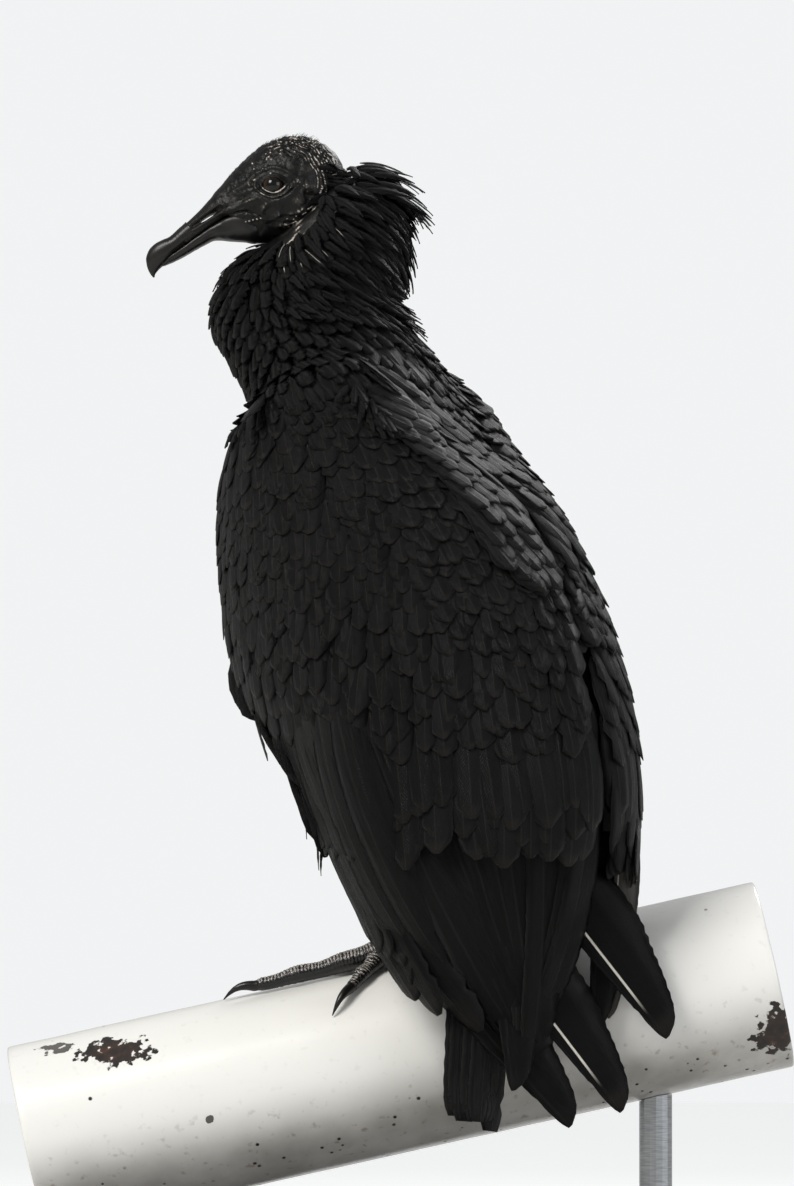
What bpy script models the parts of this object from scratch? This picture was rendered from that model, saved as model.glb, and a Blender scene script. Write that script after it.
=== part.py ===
"""A life-size American black vulture, perched upright on a short length of white painted rail.

Metres, +Z up. The rail runs along X and rises towards +X; the display stand's underside is at Z = 0.
The bird stands obliquely on the rail: its bill points along -X, its left side and back are towards -Y.
"""

import math

import bmesh
import bpy
from mathutils import Matrix, Vector

for item in list(bpy.data.objects):
    bpy.data.objects.remove(item, do_unlink=True)

GAP = 0.0003  # clearance between pieces that meet

# Perch and stand
PERCH_RADIUS = 0.052
PERCH_LENGTH = 0.42
PERCH_RISE = math.radians(12.5)
PERCH_HEIGHT = 0.151  # the rail's axis above the floor, at its middle
PERCH_SIDES, ROD_SIDES = 42, 16
BASE_SIZE = (0.40, 0.24, 0.020)
BASE_ROUNDING = 0.003  # of its rims
BASE_CORNER = 0.06
ROD_RADIUS = 0.009
ROD_PLACES = {"stand_rod_low": -0.130, "stand_rod_high": 0.140}

# The body's envelope, coat and folded wings included, in level slices:
# height, centre x, centre y, half width, half depth, turn of its left side from -X towards -Y
BODY = (
    (0.650, -0.024, 0.018, 0.004, 0.004, 88),
    (0.640, -0.026, 0.018, 0.018, 0.017, 88),
    (0.625, -0.030, 0.017, 0.028, 0.030, 88),
    (0.610, -0.034, 0.017, 0.034, 0.038, 88),
    (0.598, -0.040, 0.017, 0.037, 0.044, 88),
    (0.580, -0.0505, 0.018, 0.043, 0.0525, 84),
    (0.566, -0.054, 0.017, 0.047, 0.0515, 77),
    (0.553, -0.049, 0.017, 0.055, 0.058, 72),
    (0.527, -0.032, 0.012, 0.076, 0.060, 60),
    (0.510, -0.021, 0.009, 0.086, 0.060, 55),
    (0.480, -0.015, 0.004, 0.092, 0.077, 53),
    (0.450, -0.006, -0.003, 0.097, 0.095, 52),
    (0.400, 0.006, -0.012, 0.099, 0.109, 52),
    (0.350, 0.019, -0.022, 0.098, 0.112, 51),
    (0.300, 0.036, -0.036, 0.090, 0.100, 46),
    (0.260, 0.043, -0.046, 0.088, 0.082, 38),
    (0.230, 0.047, -0.054, 0.081, 0.054, 30),
    (0.205, 0.056, -0.062, 0.074, 0.027, 24),
    (0.188, 0.062, -0.067, 0.060, 0.018, 22),
)
NECK_TOP, NECK_FOOT, TRUNK_FOOT = 0.650, 0.512, 0.260
# How far the trunk lies inside the envelope: height, at the sides, at the front, at the back
TRUNK_INSET = (
    (0.560, 0.000, 0.000, 0.000),
    (0.537, 0.005, 0.002, 0.003),
    (0.512, 0.011, 0.005, 0.005),
    (0.480, 0.016, 0.008, 0.005),
    (0.400, 0.017, 0.009, 0.005),
    (0.350, 0.018, 0.013, 0.006),
    (0.325, 0.020, 0.026, 0.008),
    (0.300, 0.029, 0.042, 0.014),
    (0.285, 0.038, 0.053, 0.020),
    (0.272, 0.050, 0.065, 0.030),
    (0.264, 0.062, 0.073, 0.044),
    (0.260, 0.074, 0.078, 0.060),
)
# A folded wing: height, thickness, and where its leading and hind edges run round the body,
# in degrees from the bird's side: forward is negative, 90 is the middle of the back
WING_LEFT = (
    (0.534, 0.003, 26, 44),
    (0.526, 0.005, 10, 53),
    (0.512, 0.008, -20, 62),
    (0.492, 0.011, -54, 72),
    (0.470, 0.013, -58, 82),
    (0.430, 0.015, -60, 86),
    (0.350, 0.015, -58, 88),
    (0.320, 0.012, -40, 91),
    (0.290, 0.009, -32, 97),
    (0.260, 0.007, -30, 106),
    (0.230, 0.006, -28, 116),
    (0.205, 0.005, -20, 112),
    (0.185, 0.004, -8, 112),
    (0.150, 0.0035, 30, 96),
)
WING_RIGHT = (
    *WING_LEFT[:6],  # the shoulders match; the far wing hangs shorter and wraps the flank less
    (0.350, 0.014, -56, 87),
    (0.320, 0.011, -48, 85),
    (0.290, 0.009, -38, 77),
    (0.260, 0.007, -16, 65),
    (0.248, 0.005, 0, 60),
)
WING_CUT = 0.300  # the coverts end and the flight feathers' node begins
TIP_CUT = 0.232  # the long primaries' node begins
WING_OFF_BODY = 0.0018  # the gap between a wing and the trunk
WING_LEAST = 0.0012  # the thinnest a wing gets
WING_EDGE = 0.55  # a wing's share of its thickness at its very edge
SLICE = 0.015  # the spacing of the body's level slices

# Long feathers: the root's height and place round the body, the tip, and the greatest width
LEFT_PRIMARIES = (
    (0.228, 114, (0.1475, -0.066, 0.163), 0.027),
    (0.212, 103, (0.1215, -0.071, 0.121), 0.028),
    (0.208, 90, (0.0905, -0.077, 0.113), 0.031),
    (0.208, 76, (0.0590, -0.086, 0.130), 0.036),
)
RIGHT_PRIMARIES = ((0.258, 119, (0.1110, -0.0575, 0.168), 0.022),)
FEATHER_THICKNESS = 0.0034
FEATHER_PLACES = (0.0, 0.4, 0.7, 0.86, 0.95, 1.0)  # shares of a long feather's length
FEATHER_FULL = 0.6  # the share of it that keeps its whole width
FEATHER_SECTION = (  # shares of the half width and the half thickness
    (1, 0.35), (0.5, 1), (-0.5, 1), (-1, 0.35), (-1, -0.35), (-0.5, -1), (0.5, -1), (1, -0.35),
)
TAIL_ROOT = (0.046, -0.061, 0.290)
TAIL_TIP = (0.040, -0.079, 0.115)
TAIL_WIDTH = (0.040, 0.046)  # at the root and at the tip
TAIL_THICKNESS = (0.022, 0.004)
TAIL_TURN = math.radians(40)  # its left edge, from -X towards -Y
TAIL_PLACES = (0, 0.2, 0.45, 0.7, 0.9, 1.0)  # shares of its length
TAIL_SIDES = 16

# The head, in its own profile plane: distance forward along the bill, then heights above that axis
HEAD_CENTRE = Vector((-0.057, 0.017, 0.627))
HEAD_PITCH = math.radians(30.7)  # the bill points this far below level
HEAD = (  # forward, top, underside, half width
    (-0.0300, 0.010, 0.002, 0.004),
    (-0.0265, 0.018, -0.008, 0.0115),
    (-0.0200, 0.0255, -0.015, 0.0168),
    (-0.0100, 0.0315, -0.020, 0.0200),
    (0.0020, 0.0335, -0.022, 0.0208),
    (0.0120, 0.0325, -0.021, 0.0194),
    (0.0220, 0.0302, -0.017, 0.0168),
    (0.0320, 0.0268, -0.012, 0.0136),
    (0.0400, 0.0240, -0.006, 0.0112),
    (0.0440, 0.0226, -0.003, 0.0100),
)
BILL_UPPER = (
    (0.0443, 0.0225, 0.0065, 0.0098),
    (0.0520, 0.0202, 0.0075, 0.0085),
    (0.0600, 0.0184, 0.0078, 0.0074),
    (0.0680, 0.0174, 0.0076, 0.0066),
    (0.0760, 0.0182, 0.0072, 0.0062),
    (0.0820, 0.0178, 0.0066, 0.0056),
    (0.0870, 0.0160, 0.0050, 0.0044),
    (0.0900, 0.0126, 0.0038, 0.0028),
    (0.0915, 0.0088, 0.0042, 0.0012),
)
BILL_LOWER = (
    (0.0443, 0.0061, -0.0027, 0.0090),
    (0.0520, 0.0070, 0.0022, 0.0078),
    (0.0600, 0.0073, 0.0026, 0.0066),
    (0.0700, 0.0071, 0.0030, 0.0055),
    (0.0780, 0.0066, 0.0035, 0.0044),
    (0.0830, 0.0061, 0.0042, 0.0024),
)
EYE = {"forward": 0.0092, "up": 0.0105, "side": 0.0152, "radius": 0.0064}
EYE_SWELL, EYE_SWELL_REACH = 0.0016, 0.0085  # the lids and brow stand out round each eye

# Legs
THIGHS = {  # hip, heel
    "left": ((-0.008, -0.034, 0.338), (0.006, -0.036, 0.262)),
    "right": ((0.024, 0.004, 0.338), (0.056, -0.002, 0.274)),
}
THIGH_RADII = (0.035, 0.013)
THIGH_PLACES = (0, 0.35, 0.7, 0.9, 1.04)  # shares of the way from hip to heel, its feathers just past it
THIGH_FALL = (0, 0.16, 0.54, 0.86, 1.1)  # shares of the way from one radius to the other, at those places
FEET = {  # run along the rail from its middle, angle from its top towards -Y, middle toe's heading
    "left": (0.005, 14, 180),
    "right": (0.058, -17, 154),
}
TARSUS_RADIUS = 0.0062
TARSUS_PLACES = (0, 0.5, 0.9, 1.0)  # shares of the way from heel to palm
TARSUS_SWELL = (1.15, 0.85, 0.95, 1.15)
PALM_RADIUS = 0.0086
PALM_OFF_RAIL = 0.0008
TOES = {  # heading from the middle toe, length, radius at its root
    "inner": (36, 0.044, 0.0042),
    "middle": (0, 0.0745, 0.0048),
    "outer": (-46, 0.034, 0.0042),
    "hind": (172, 0.024, 0.0038),
}
TOE_SWELL = (1.7, 1.32, 1.22, 0.98, 1.04, 0.82, 0.80)  # pads and joints along a toe, thickest at the foot
TOE_OFF_RAIL = 0.0012
CLAW_LENGTH, CLAW_RADIUS, CLAW_ARCH, CLAW_GAP = 0.018, 0.0029, 0.0020, 0.0009
CLAW_PLACES = [i / 5 for i in range(6)]  # shares of its length
CLAW_TAPER = 0.86  # the share of its radius lost by the tip

COLOURS = {  # base colour, roughness, metallic
    "plumage": ((0.020, 0.019, 0.020), 0.62, 0.0),
    "skin": ((0.055, 0.052, 0.050), 0.60, 0.0),
    "horn": ((0.040, 0.037, 0.034), 0.38, 0.0),
    "eye": ((0.020, 0.012, 0.008), 0.06, 0.0),
    "scales": ((0.30, 0.29, 0.27), 0.55, 0.0),
    "claw": ((0.015, 0.014, 0.014), 0.35, 0.0),
    "paint": ((0.86, 0.86, 0.85), 0.28, 0.0),
    "stand": ((0.05, 0.05, 0.05), 0.45, 0.0),
}


def collection(name):
    made = bpy.data.collections.new(name)
    bpy.context.scene.collection.children.link(made)
    return made


bird = collection("black_vulture")
cutters = collection("cutters")


def material(name):
    found = bpy.data.materials.get(name)
    if found:
        return found
    colour, roughness, metallic = COLOURS[name]
    made = bpy.data.materials.new(name)
    made.use_nodes = True
    shader = made.node_tree.nodes["Principled BSDF"]
    shader.inputs["Base Color"].default_value = (*colour, 1)
    shader.inputs["Roughness"].default_value = roughness
    shader.inputs["Metallic"].default_value = metallic
    return made


def blend(stations, at):
    """The values at one place along a list of stations, smoothly between them."""
    order = sorted(stations)
    at = min(max(at, order[0][0]), order[-1][0])
    i = max(k for k in range(len(order) - 1) if order[k][0] <= at)
    t = (at - order[i][0]) / (order[i + 1][0] - order[i][0])

    def slope(k, column):
        low, high = order[max(k - 1, 0)], order[min(k + 1, len(order) - 1)]
        return (high[column] - low[column]) / (high[0] - low[0])

    values = []
    for column in range(1, len(order[0])):
        span = order[i + 1][0] - order[i][0]
        start, end = order[i][column], order[i + 1][column]
        run = slope(i, column) * span, slope(i + 1, column) * span
        values.append(
            (2 * t**3 - 3 * t**2 + 1) * start
            + (t**3 - 2 * t**2 + t) * run[0]
            + (3 * t**2 - 2 * t**3) * end
            + (t**3 - t**2) * run[1]
        )
    return values


def spread(low, high, count):
    return [low + (high - low) * i / (count - 1) for i in range(count)]


def finish(name, mesh, finish_name, group=None):
    """A mesh as a named object, smooth but for its sharp edges."""
    for polygon in mesh.polygons:
        polygon.use_smooth = True
    mesh.set_sharp_from_angle(angle=math.radians(50))
    made = bpy.data.objects.new(name, mesh)
    if finish_name:
        mesh.materials.append(material(finish_name))
    (group or bird).objects.link(made)
    if group is cutters:
        made.hide_render = True
        made.display_type = "WIRE"
    return made


def loft(name, rings, finish_name, group=None, crescent=False):
    """A closed body through rings of equal length. Its ends are flat fans, or rungs across a crescent."""
    shape = bmesh.new()
    rows = [[shape.verts.new(point) for point in ring] for ring in rings]
    count = len(rows[0])
    for low, high in zip(rows, rows[1:]):
        for i in range(count):
            j = (i + 1) % count
            shape.faces.new((low[i], low[j], high[j], high[i]))
    for row in (rows[0], rows[-1]):
        if crescent:
            for i in range(count // 2 - 1):
                shape.faces.new((row[i], row[i + 1], row[-i - 2], row[-i - 1]))
            continue
        middle = shape.verts.new(sum((v.co for v in row), Vector()) / count)
        for i in range(count):
            shape.faces.new((row[i], row[(i + 1) % count], middle))
    bmesh.ops.recalc_face_normals(shape, faces=shape.faces)
    mesh = bpy.data.meshes.new(name)
    shape.to_mesh(mesh)
    shape.free()
    return finish(name, mesh, finish_name, group)


def sphere(name, place, radius, finish_name, group=None):
    shape = bmesh.new()
    bmesh.ops.create_uvsphere(shape, u_segments=14, v_segments=8, radius=radius)
    bmesh.ops.translate(shape, vec=place, verts=shape.verts)
    mesh = bpy.data.meshes.new(name)
    shape.to_mesh(mesh)
    shape.free()
    return finish(name, mesh, finish_name, group)


def boolean(target, other, operation, solver="EXACT"):
    step = target.modifiers.new(f"{operation.lower()} {other.name}", "BOOLEAN")
    step.operation = operation
    step.solver = solver
    step.object = other


def as_mesh(source, name, finish_name, group=None, weld=1e-6):
    """A curve or modified object made a plain mesh in world space, its loose caps welded."""
    bpy.context.view_layer.update()
    evaluated = source.evaluated_get(bpy.context.evaluated_depsgraph_get())
    mesh = bpy.data.meshes.new_from_object(evaluated)
    mesh.transform(source.matrix_world)
    shape = bmesh.new()
    shape.from_mesh(mesh)
    if weld:
        bmesh.ops.remove_doubles(shape, verts=shape.verts, dist=weld)
        bmesh.ops.recalc_face_normals(shape, faces=shape.faces)
    shape.to_mesh(mesh)
    shape.free()
    mesh.materials.clear()
    bpy.data.objects.remove(source, do_unlink=True)
    return finish(name, mesh, finish_name, group)


def tube(name, points, radii, finish_name, group=None, sides=2):
    """A tapered tube along a smooth line of points."""
    curve = bpy.data.curves.new(name + "_line", "CURVE")
    curve.dimensions = "3D"
    curve.bevel_depth = 1.0
    curve.bevel_resolution = sides
    curve.use_fill_caps = True
    spline = curve.splines.new("POLY")
    spline.points.add(len(points) - 1)
    for place, point, radius in zip(spline.points, points, radii):
        place.co = (*point, 1)
        place.radius = radius
    source = bpy.data.objects.new(name + "_line", curve)
    bpy.context.scene.collection.objects.link(source)
    return as_mesh(source, name, finish_name, group)


def joined(name, pieces, finish_name):
    """Several overlapping pieces as one body."""
    whole = pieces[0]
    for piece in pieces[1:]:
        boolean(whole, piece, "UNION", "MANIFOLD")
    made = as_mesh(whole, name, finish_name, weld=None)
    for piece in pieces[1:]:
        bpy.data.objects.remove(piece, do_unlink=True)
    return made


# ---- body, neck and wings


def body_axes(turn):
    """The bird's left and its back, level, for one slice's turn in degrees."""
    angle = math.radians(turn)
    left = Vector((-math.cos(angle), -math.sin(angle), 0))
    back = Vector((math.sin(angle), -math.cos(angle), 0))
    return left, back


def body_point(height, around, inset):
    """A point of the envelope, moved in by inset; around is in degrees from the bird's left."""
    x, y, half_width, half_depth, turn = blend(BODY, height)
    left, back = body_axes(turn)
    angle = math.radians(around)
    across = (half_width - inset) * math.cos(angle)
    along = (half_depth - inset) * math.sin(angle)
    return Vector((x, y, height)) + left * across + back * along


def trunk_inset(height, around):
    side, front, rear = blend(TRUNK_INSET, height)
    angle = math.radians(around)
    ends = rear if math.sin(angle) > 0 else front
    return side * math.cos(angle) ** 2 + ends * math.sin(angle) ** 2


def body_ring(height, grow=0.0, count=28):
    turns = [360 * i / count for i in range(count)]
    return [body_point(height, a, trunk_inset(height, a) - grow) for a in turns]


def wing_ring(stations, height, mirrored, across=11):
    """A slice of a folded wing: along its outer face, and back along its inner one."""
    thickness, lead, trail = blend(stations, height)
    places = spread(lead, trail, across)

    def turn(a):
        return 180 - a if mirrored else a

    def depth(i, a):
        free = trunk_inset(height, turn(a)) - WING_OFF_BODY
        edge = min(i, across - 1 - i) / 2  # full thickness from the second place in
        rounded = min(1.0, WING_EDGE + (1 - WING_EDGE) * edge)
        return max(WING_LEAST, min(thickness * rounded, free))

    outer = [body_point(height, turn(a), 0.0) for a in places]
    inner = [body_point(height, turn(a), depth(i, a)) for i, a in enumerate(places)]
    return outer + inner[::-1]


def slices(low, high):
    """Heights of slices: the two ends, and between them levels that all the pieces share."""
    first, last = math.ceil(low / SLICE + 0.3), math.floor(high / SLICE - 0.3)
    return [low, *(SLICE * k for k in range(first, last + 1)), high]


def wing_slice(name, stations, low, high, mirrored, finish_name="plumage"):
    rings = [wing_ring(stations, z, mirrored) for z in slices(low, high)]
    return loft(name, rings, finish_name, crescent=True)


def blade(name, height, around, tip, width, finish_name=None):
    """One long feather: a thin lens, widest past its middle, with a rounded point."""
    root, tip = body_point(height, around, FEATHER_THICKNESS / 2), Vector(tip)
    along = (tip - root).normalized()
    face = Vector((0.1, -1, 0)).normalized()
    side = along.cross(face).normalized()
    through = side.cross(along)
    rings = []
    for t in FEATHER_PLACES:
        past = max(0.0, t - FEATHER_FULL) / (1.02 - FEATHER_FULL)  # just under 1 at the tip itself
        share = math.sqrt(1 - past**2.4)
        half = width / 2 * share
        thick = FEATHER_THICKNESS / 2 * (0.55 + 0.45 * share)
        middle = root.lerp(tip, t)
        rings.append([middle + side * half * u + through * thick * v for u, v in FEATHER_SECTION])
    return loft(name, rings, finish_name)


def make_body():
    """The neck and the trunk, and a slightly larger trunk that the tail and thighs are cut by."""
    neck_heights = slices(NECK_FOOT + GAP / 2, NECK_TOP)
    trunk_heights = slices(TRUNK_FOOT, NECK_FOOT - GAP / 2)
    neck = loft("neck", [body_ring(z) for z in neck_heights], "plumage")
    loft("trunk", [body_ring(z) for z in trunk_heights], "plumage")
    trunk_heights[0] -= GAP
    grown = [body_ring(z, grow=4 * GAP) for z in trunk_heights]
    return neck, loft("trunk_cutter", grown, None, cutters)


def make_wings():
    top, low_left, low_right = WING_LEFT[0][0], WING_LEFT[-1][0], WING_RIGHT[-1][0]
    wing_slice("wing_left_coverts", WING_LEFT, WING_CUT + GAP / 2, top, False)
    wing_slice("wing_right_coverts", WING_RIGHT, WING_CUT + GAP / 2, top, True)
    wing_slice("wing_left_secondaries", WING_LEFT, TIP_CUT + GAP / 2, WING_CUT - GAP / 2, False)
    hand = wing_slice("hand", WING_LEFT, low_left, TIP_CUT - GAP / 2, False)
    feathers = [blade(f"blade_{i}", *place) for i, place in enumerate(LEFT_PRIMARIES)]
    joined("wing_left_primaries", [hand, *feathers], "plumage")
    arm = wing_slice("arm", WING_RIGHT, low_right, WING_CUT - GAP / 2, True)
    feathers = [blade(f"blade_{i}", *place) for i, place in enumerate(RIGHT_PRIMARIES)]
    joined("wing_right_flight", [arm, *feathers], "plumage")


def make_tail(trunk_cutter):
    root, tip = Vector(TAIL_ROOT), Vector(TAIL_TIP)
    side = Vector((-math.cos(TAIL_TURN), -math.sin(TAIL_TURN), 0))
    through = side.cross((tip - root).normalized())
    rings = []
    for t in TAIL_PLACES:
        half = (TAIL_WIDTH[0] + (TAIL_WIDTH[1] - TAIL_WIDTH[0]) * t**0.7) / 2
        thick = (TAIL_THICKNESS[0] * (1 - t) ** 2 + TAIL_THICKNESS[1]) / 2
        middle = root.lerp(tip, t)
        ring = []
        for k in range(TAIL_SIDES):
            angle = 2 * math.pi * k / TAIL_SIDES
            across = math.copysign(abs(math.cos(angle)) ** 0.7, math.cos(angle))  # a flattened oval
            ring.append(middle + side * half * across + through * thick * math.sin(angle))
        rings.append(ring)
    tail = loft("tail", rings, "plumage")
    boolean(tail, trunk_cutter, "DIFFERENCE")


# ---- head


FORWARD = Vector((-math.cos(HEAD_PITCH), 0, -math.sin(HEAD_PITCH)))
UPWARD = Vector((-math.sin(HEAD_PITCH), 0, math.cos(HEAD_PITCH)))
LEFTWARD = Vector((0, -1, 0))


def head_point(forward, side, up):
    return HEAD_CENTRE + FORWARD * forward + LEFTWARD * side + UPWARD * up


def head_rings(stations, places, count, grow=0.0, swell=False, squareness=0.9):
    rings = []
    for s in places:
        top, under, half = blend(stations, s)
        ring = []
        for k in range(count):
            angle = 2 * math.pi * k / count
            c, d = math.cos(angle), math.sin(angle)
            side = (half + grow) * math.copysign(abs(c) ** squareness, c)
            up = (top + under) / 2 + ((top - under) / 2 + grow) * d
            if swell:
                off = math.hypot(s - EYE["forward"], up - EYE["up"]) / EYE_SWELL_REACH
                side += math.copysign(EYE_SWELL * math.exp(-(off**2)), side) * abs(c)
            ring.append(head_point(s, side, up))
        rings.append(ring)
    return rings


def make_head(neck):
    places = spread(HEAD[0][0], HEAD[-1][0], 14)
    head = loft("head", head_rings(HEAD, places, 24, swell=True), "skin")
    cutter = loft("head_cutter", head_rings(HEAD, places, 24, grow=GAP, swell=True), None, cutters)
    boolean(neck, cutter, "DIFFERENCE")
    for side, sign in (("left", 1), ("right", -1)):
        place = head_point(EYE["forward"], sign * EYE["side"], EYE["up"])
        for name, extra, group in ((f"eye_{side}", 0, None), (f"eye_{side}_cutter", GAP, cutters)):
            ball = sphere(name, place, EYE["radius"] + extra, None if group else "eye", group)
        boolean(head, ball, "DIFFERENCE")
    for name, stations, count in (("bill_upper", BILL_UPPER, 16), ("bill_lower", BILL_LOWER, 12)):
        places = spread(stations[0][0], stations[-1][0], 14 if name == "bill_upper" else 8)
        loft(name, head_rings(stations, places, count, squareness=0.75), "horn")


# ---- perch, feet and stand


def perch_axis(x):
    return Vector((x, 0, PERCH_HEIGHT + x * math.tan(PERCH_RISE)))


def on_perch(along, angle, lift):
    """A point over the rail: along it, round it from its top towards -Y in degrees, and off it."""
    turn = math.radians(angle)
    direction = Vector((math.cos(PERCH_RISE), 0, math.sin(PERCH_RISE)))
    up = Vector((-math.sin(PERCH_RISE), 0, math.cos(PERCH_RISE)))
    out = up * math.cos(turn) + Vector((0, -1, 0)) * math.sin(turn)
    start = perch_axis(0)
    return start + direction * along + out * (PERCH_RADIUS + lift)


def toe_point(along, angle, heading, run, lift):
    """A point a given run out from the foot, in one heading, over the curve of the rail."""
    turn = math.radians(heading)
    round_rail = math.degrees(-math.sin(turn) * run / PERCH_RADIUS)
    return on_perch(along + math.cos(turn) * run, angle + round_rail, lift)


def make_leg(side, trunk_cutter):
    along, angle, heading = FEET[side]
    hip, heel = (Vector(p) for p in THIGHS[side])
    mirror = -1 if side == "left" else 1
    palm = on_perch(along, angle, PALM_RADIUS + PALM_OFF_RAIL)
    pieces = [sphere(f"palm_{side}", palm, PALM_RADIUS, None)]
    shank = [heel.lerp(palm, t) for t in TARSUS_PLACES]
    radii = [TARSUS_RADIUS * f for f in TARSUS_SWELL]
    pieces.append(tube("shank", shank, radii, None))
    for toe, (off, length, radius) in TOES.items():
        way = heading + mirror * off
        thick = [radius * f for f in TOE_SWELL]
        places = spread(0, 1, len(TOE_SWELL))
        path = [toe_point(along, angle, way, length * t, r + TOE_OFF_RAIL) for t, r in zip(places, thick)]
        pieces.append(tube(f"toe_{toe}", path, thick, None, sides=1))
        low = thick[-1] + TOE_OFF_RAIL
        claw = []
        for t in CLAW_PLACES:
            arch = CLAW_ARCH * math.sin(math.pi * t) - (low - TOE_OFF_RAIL) * t**2
            claw.append(toe_point(along, angle, way, length + CLAW_GAP + CLAW_LENGTH * t, low + arch))
        widths = [CLAW_RADIUS * (1 - CLAW_TAPER * t**1.3) for t in CLAW_PLACES]
        tube(f"claw_{side}_{toe}", claw, widths, "claw", sides=1)
    foot = joined(f"foot_{side}", pieces, "scales")
    thigh_points = [hip.lerp(heel, t) for t in THIGH_PLACES]
    widest, narrowest = THIGH_RADII
    fall = [widest + (narrowest - widest) * f for f in THIGH_FALL]
    thigh = tube(f"thigh_{side}", thigh_points, fall, "plumage", sides=4)
    ankle = tube(f"shank_{side}_cutter", shank[:2], [r + GAP for r in radii[:2]], None, cutters)
    boolean(thigh, trunk_cutter, "DIFFERENCE")
    boolean(thigh, ankle, "DIFFERENCE")
    return foot


def cylinder(name, radius, length, matrix, finish_name, sides, group=None):
    shape = bmesh.new()
    bmesh.ops.create_cone(
        shape, cap_ends=True, segments=sides, radius1=radius, radius2=radius, depth=length, matrix=matrix
    )
    mesh = bpy.data.meshes.new(name)
    shape.to_mesh(mesh)
    shape.free()
    return finish(name, mesh, finish_name, group)


def make_perch_and_stand():
    lie = Matrix.Translation(perch_axis(0)) @ Matrix.Rotation(math.pi / 2 - PERCH_RISE, 4, "Y")
    cylinder("perch", PERCH_RADIUS, PERCH_LENGTH, lie, "paint", PERCH_SIDES)
    cutter = cylinder("perch_cutter", PERCH_RADIUS + GAP, PERCH_LENGTH, lie, None, PERCH_SIDES, cutters)
    for name, x in ROD_PLACES.items():
        low, high = BASE_SIZE[2] + GAP, perch_axis(x).z
        stand = Matrix.Translation((x, 0, (low + high) / 2))
        rod = cylinder(name, ROD_RADIUS, high - low, stand, "stand", ROD_SIDES)
        boolean(rod, cutter, "DIFFERENCE")
    shape = bmesh.new()
    bmesh.ops.create_cube(shape, size=1.0)
    bmesh.ops.scale(shape, vec=BASE_SIZE, verts=shape.verts)
    bmesh.ops.translate(shape, vec=(0, 0, BASE_SIZE[2] / 2), verts=shape.verts)
    upright = [e for e in shape.edges if abs(e.verts[0].co.z - e.verts[1].co.z) > BASE_SIZE[2] / 2]
    bmesh.ops.bevel(shape, geom=upright, offset=BASE_CORNER, segments=5, affect="EDGES", profile=0.5)
    mesh = bpy.data.meshes.new("stand_base")
    shape.to_mesh(mesh)
    shape.free()
    base = finish("stand_base", mesh, "stand")
    edge = base.modifiers.new("rounded rim", "BEVEL")
    edge.width = BASE_ROUNDING
    edge.segments = 2
    edge.limit_method = "ANGLE"
    edge.angle_limit = math.radians(60)


neck_object, trunk_shape = make_body()
make_wings()
make_tail(trunk_shape)
make_head(neck_object)
for side_name in ("left", "right"):
    make_leg(side_name, trunk_shape)
make_perch_and_stand()
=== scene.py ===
import math

import bmesh
import bpy
import numpy as np
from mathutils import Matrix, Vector, noise
from mathutils.bvhtree import BVHTree


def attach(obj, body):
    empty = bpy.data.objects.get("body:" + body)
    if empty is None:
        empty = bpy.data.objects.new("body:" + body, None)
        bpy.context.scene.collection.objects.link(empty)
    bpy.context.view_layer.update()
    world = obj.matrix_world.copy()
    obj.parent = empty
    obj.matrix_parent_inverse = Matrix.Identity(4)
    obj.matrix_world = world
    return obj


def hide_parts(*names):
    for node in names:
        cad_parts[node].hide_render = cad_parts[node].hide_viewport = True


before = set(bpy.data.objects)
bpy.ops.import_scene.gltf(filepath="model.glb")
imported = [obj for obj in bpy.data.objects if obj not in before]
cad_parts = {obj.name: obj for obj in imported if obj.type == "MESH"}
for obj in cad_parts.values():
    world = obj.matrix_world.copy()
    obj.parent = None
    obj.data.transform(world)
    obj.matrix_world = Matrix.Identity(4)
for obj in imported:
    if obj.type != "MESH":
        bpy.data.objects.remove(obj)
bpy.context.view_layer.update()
print("frame loaded:", len(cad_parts), "nodes")


def tint(code):
    # sRGB hex to linear colour
    parts = [int(code[i:i + 2], 16) / 255 for i in (1, 3, 5)]
    return tuple(c / 12.92 if c <= 0.04045 else ((c + 0.055) / 1.055) ** 2.4 for c in parts) + (1.0,)


def connect(tree, node, inputs):
    # an input, by name or number, takes another node's output, a value or a hex colour
    for place, value in inputs.items() if isinstance(inputs, dict) else enumerate(inputs):
        if isinstance(value, bpy.types.NodeSocket):
            tree.links.new(value, node.inputs[place])
        elif isinstance(value, str) and value.startswith("#"):
            node.inputs[place].default_value = tint(value)
        else:
            node.inputs[place].default_value = value


def addNode(tree, kind, inputs=(), out=0, stops=(), **settings):
    # a node with its settings and links, as one of its outputs; a ramp's stops are places and hex colours
    node = tree.nodes.new(kind)
    for name, value in settings.items():
        setattr(node, name, value)
    connect(tree, node, inputs)
    if stops:
        points = node.color_ramp.elements
        points[0].position, points[1].position = stops[0][0], stops[-1][0]
        for place, code in stops[1:-1]:
            points.new(place)
        for point, (place, code) in zip(points, stops):
            point.color = tint(code)
    return node if out is None else node.outputs[out]


def newMaterial(name):
    # a material with its tree, its shader and the coordinates of the object it is on
    material = bpy.data.materials.new(name)
    material.use_nodes = True
    tree = material.node_tree
    place = addNode(tree, "ShaderNodeTexCoord", out="Object")
    return material, tree, tree.nodes["Principled BSDF"], place


def addPiece(name, data):
    made = bpy.data.objects.new(name, data)
    bpy.context.scene.collection.objects.link(made)
    return made


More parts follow.
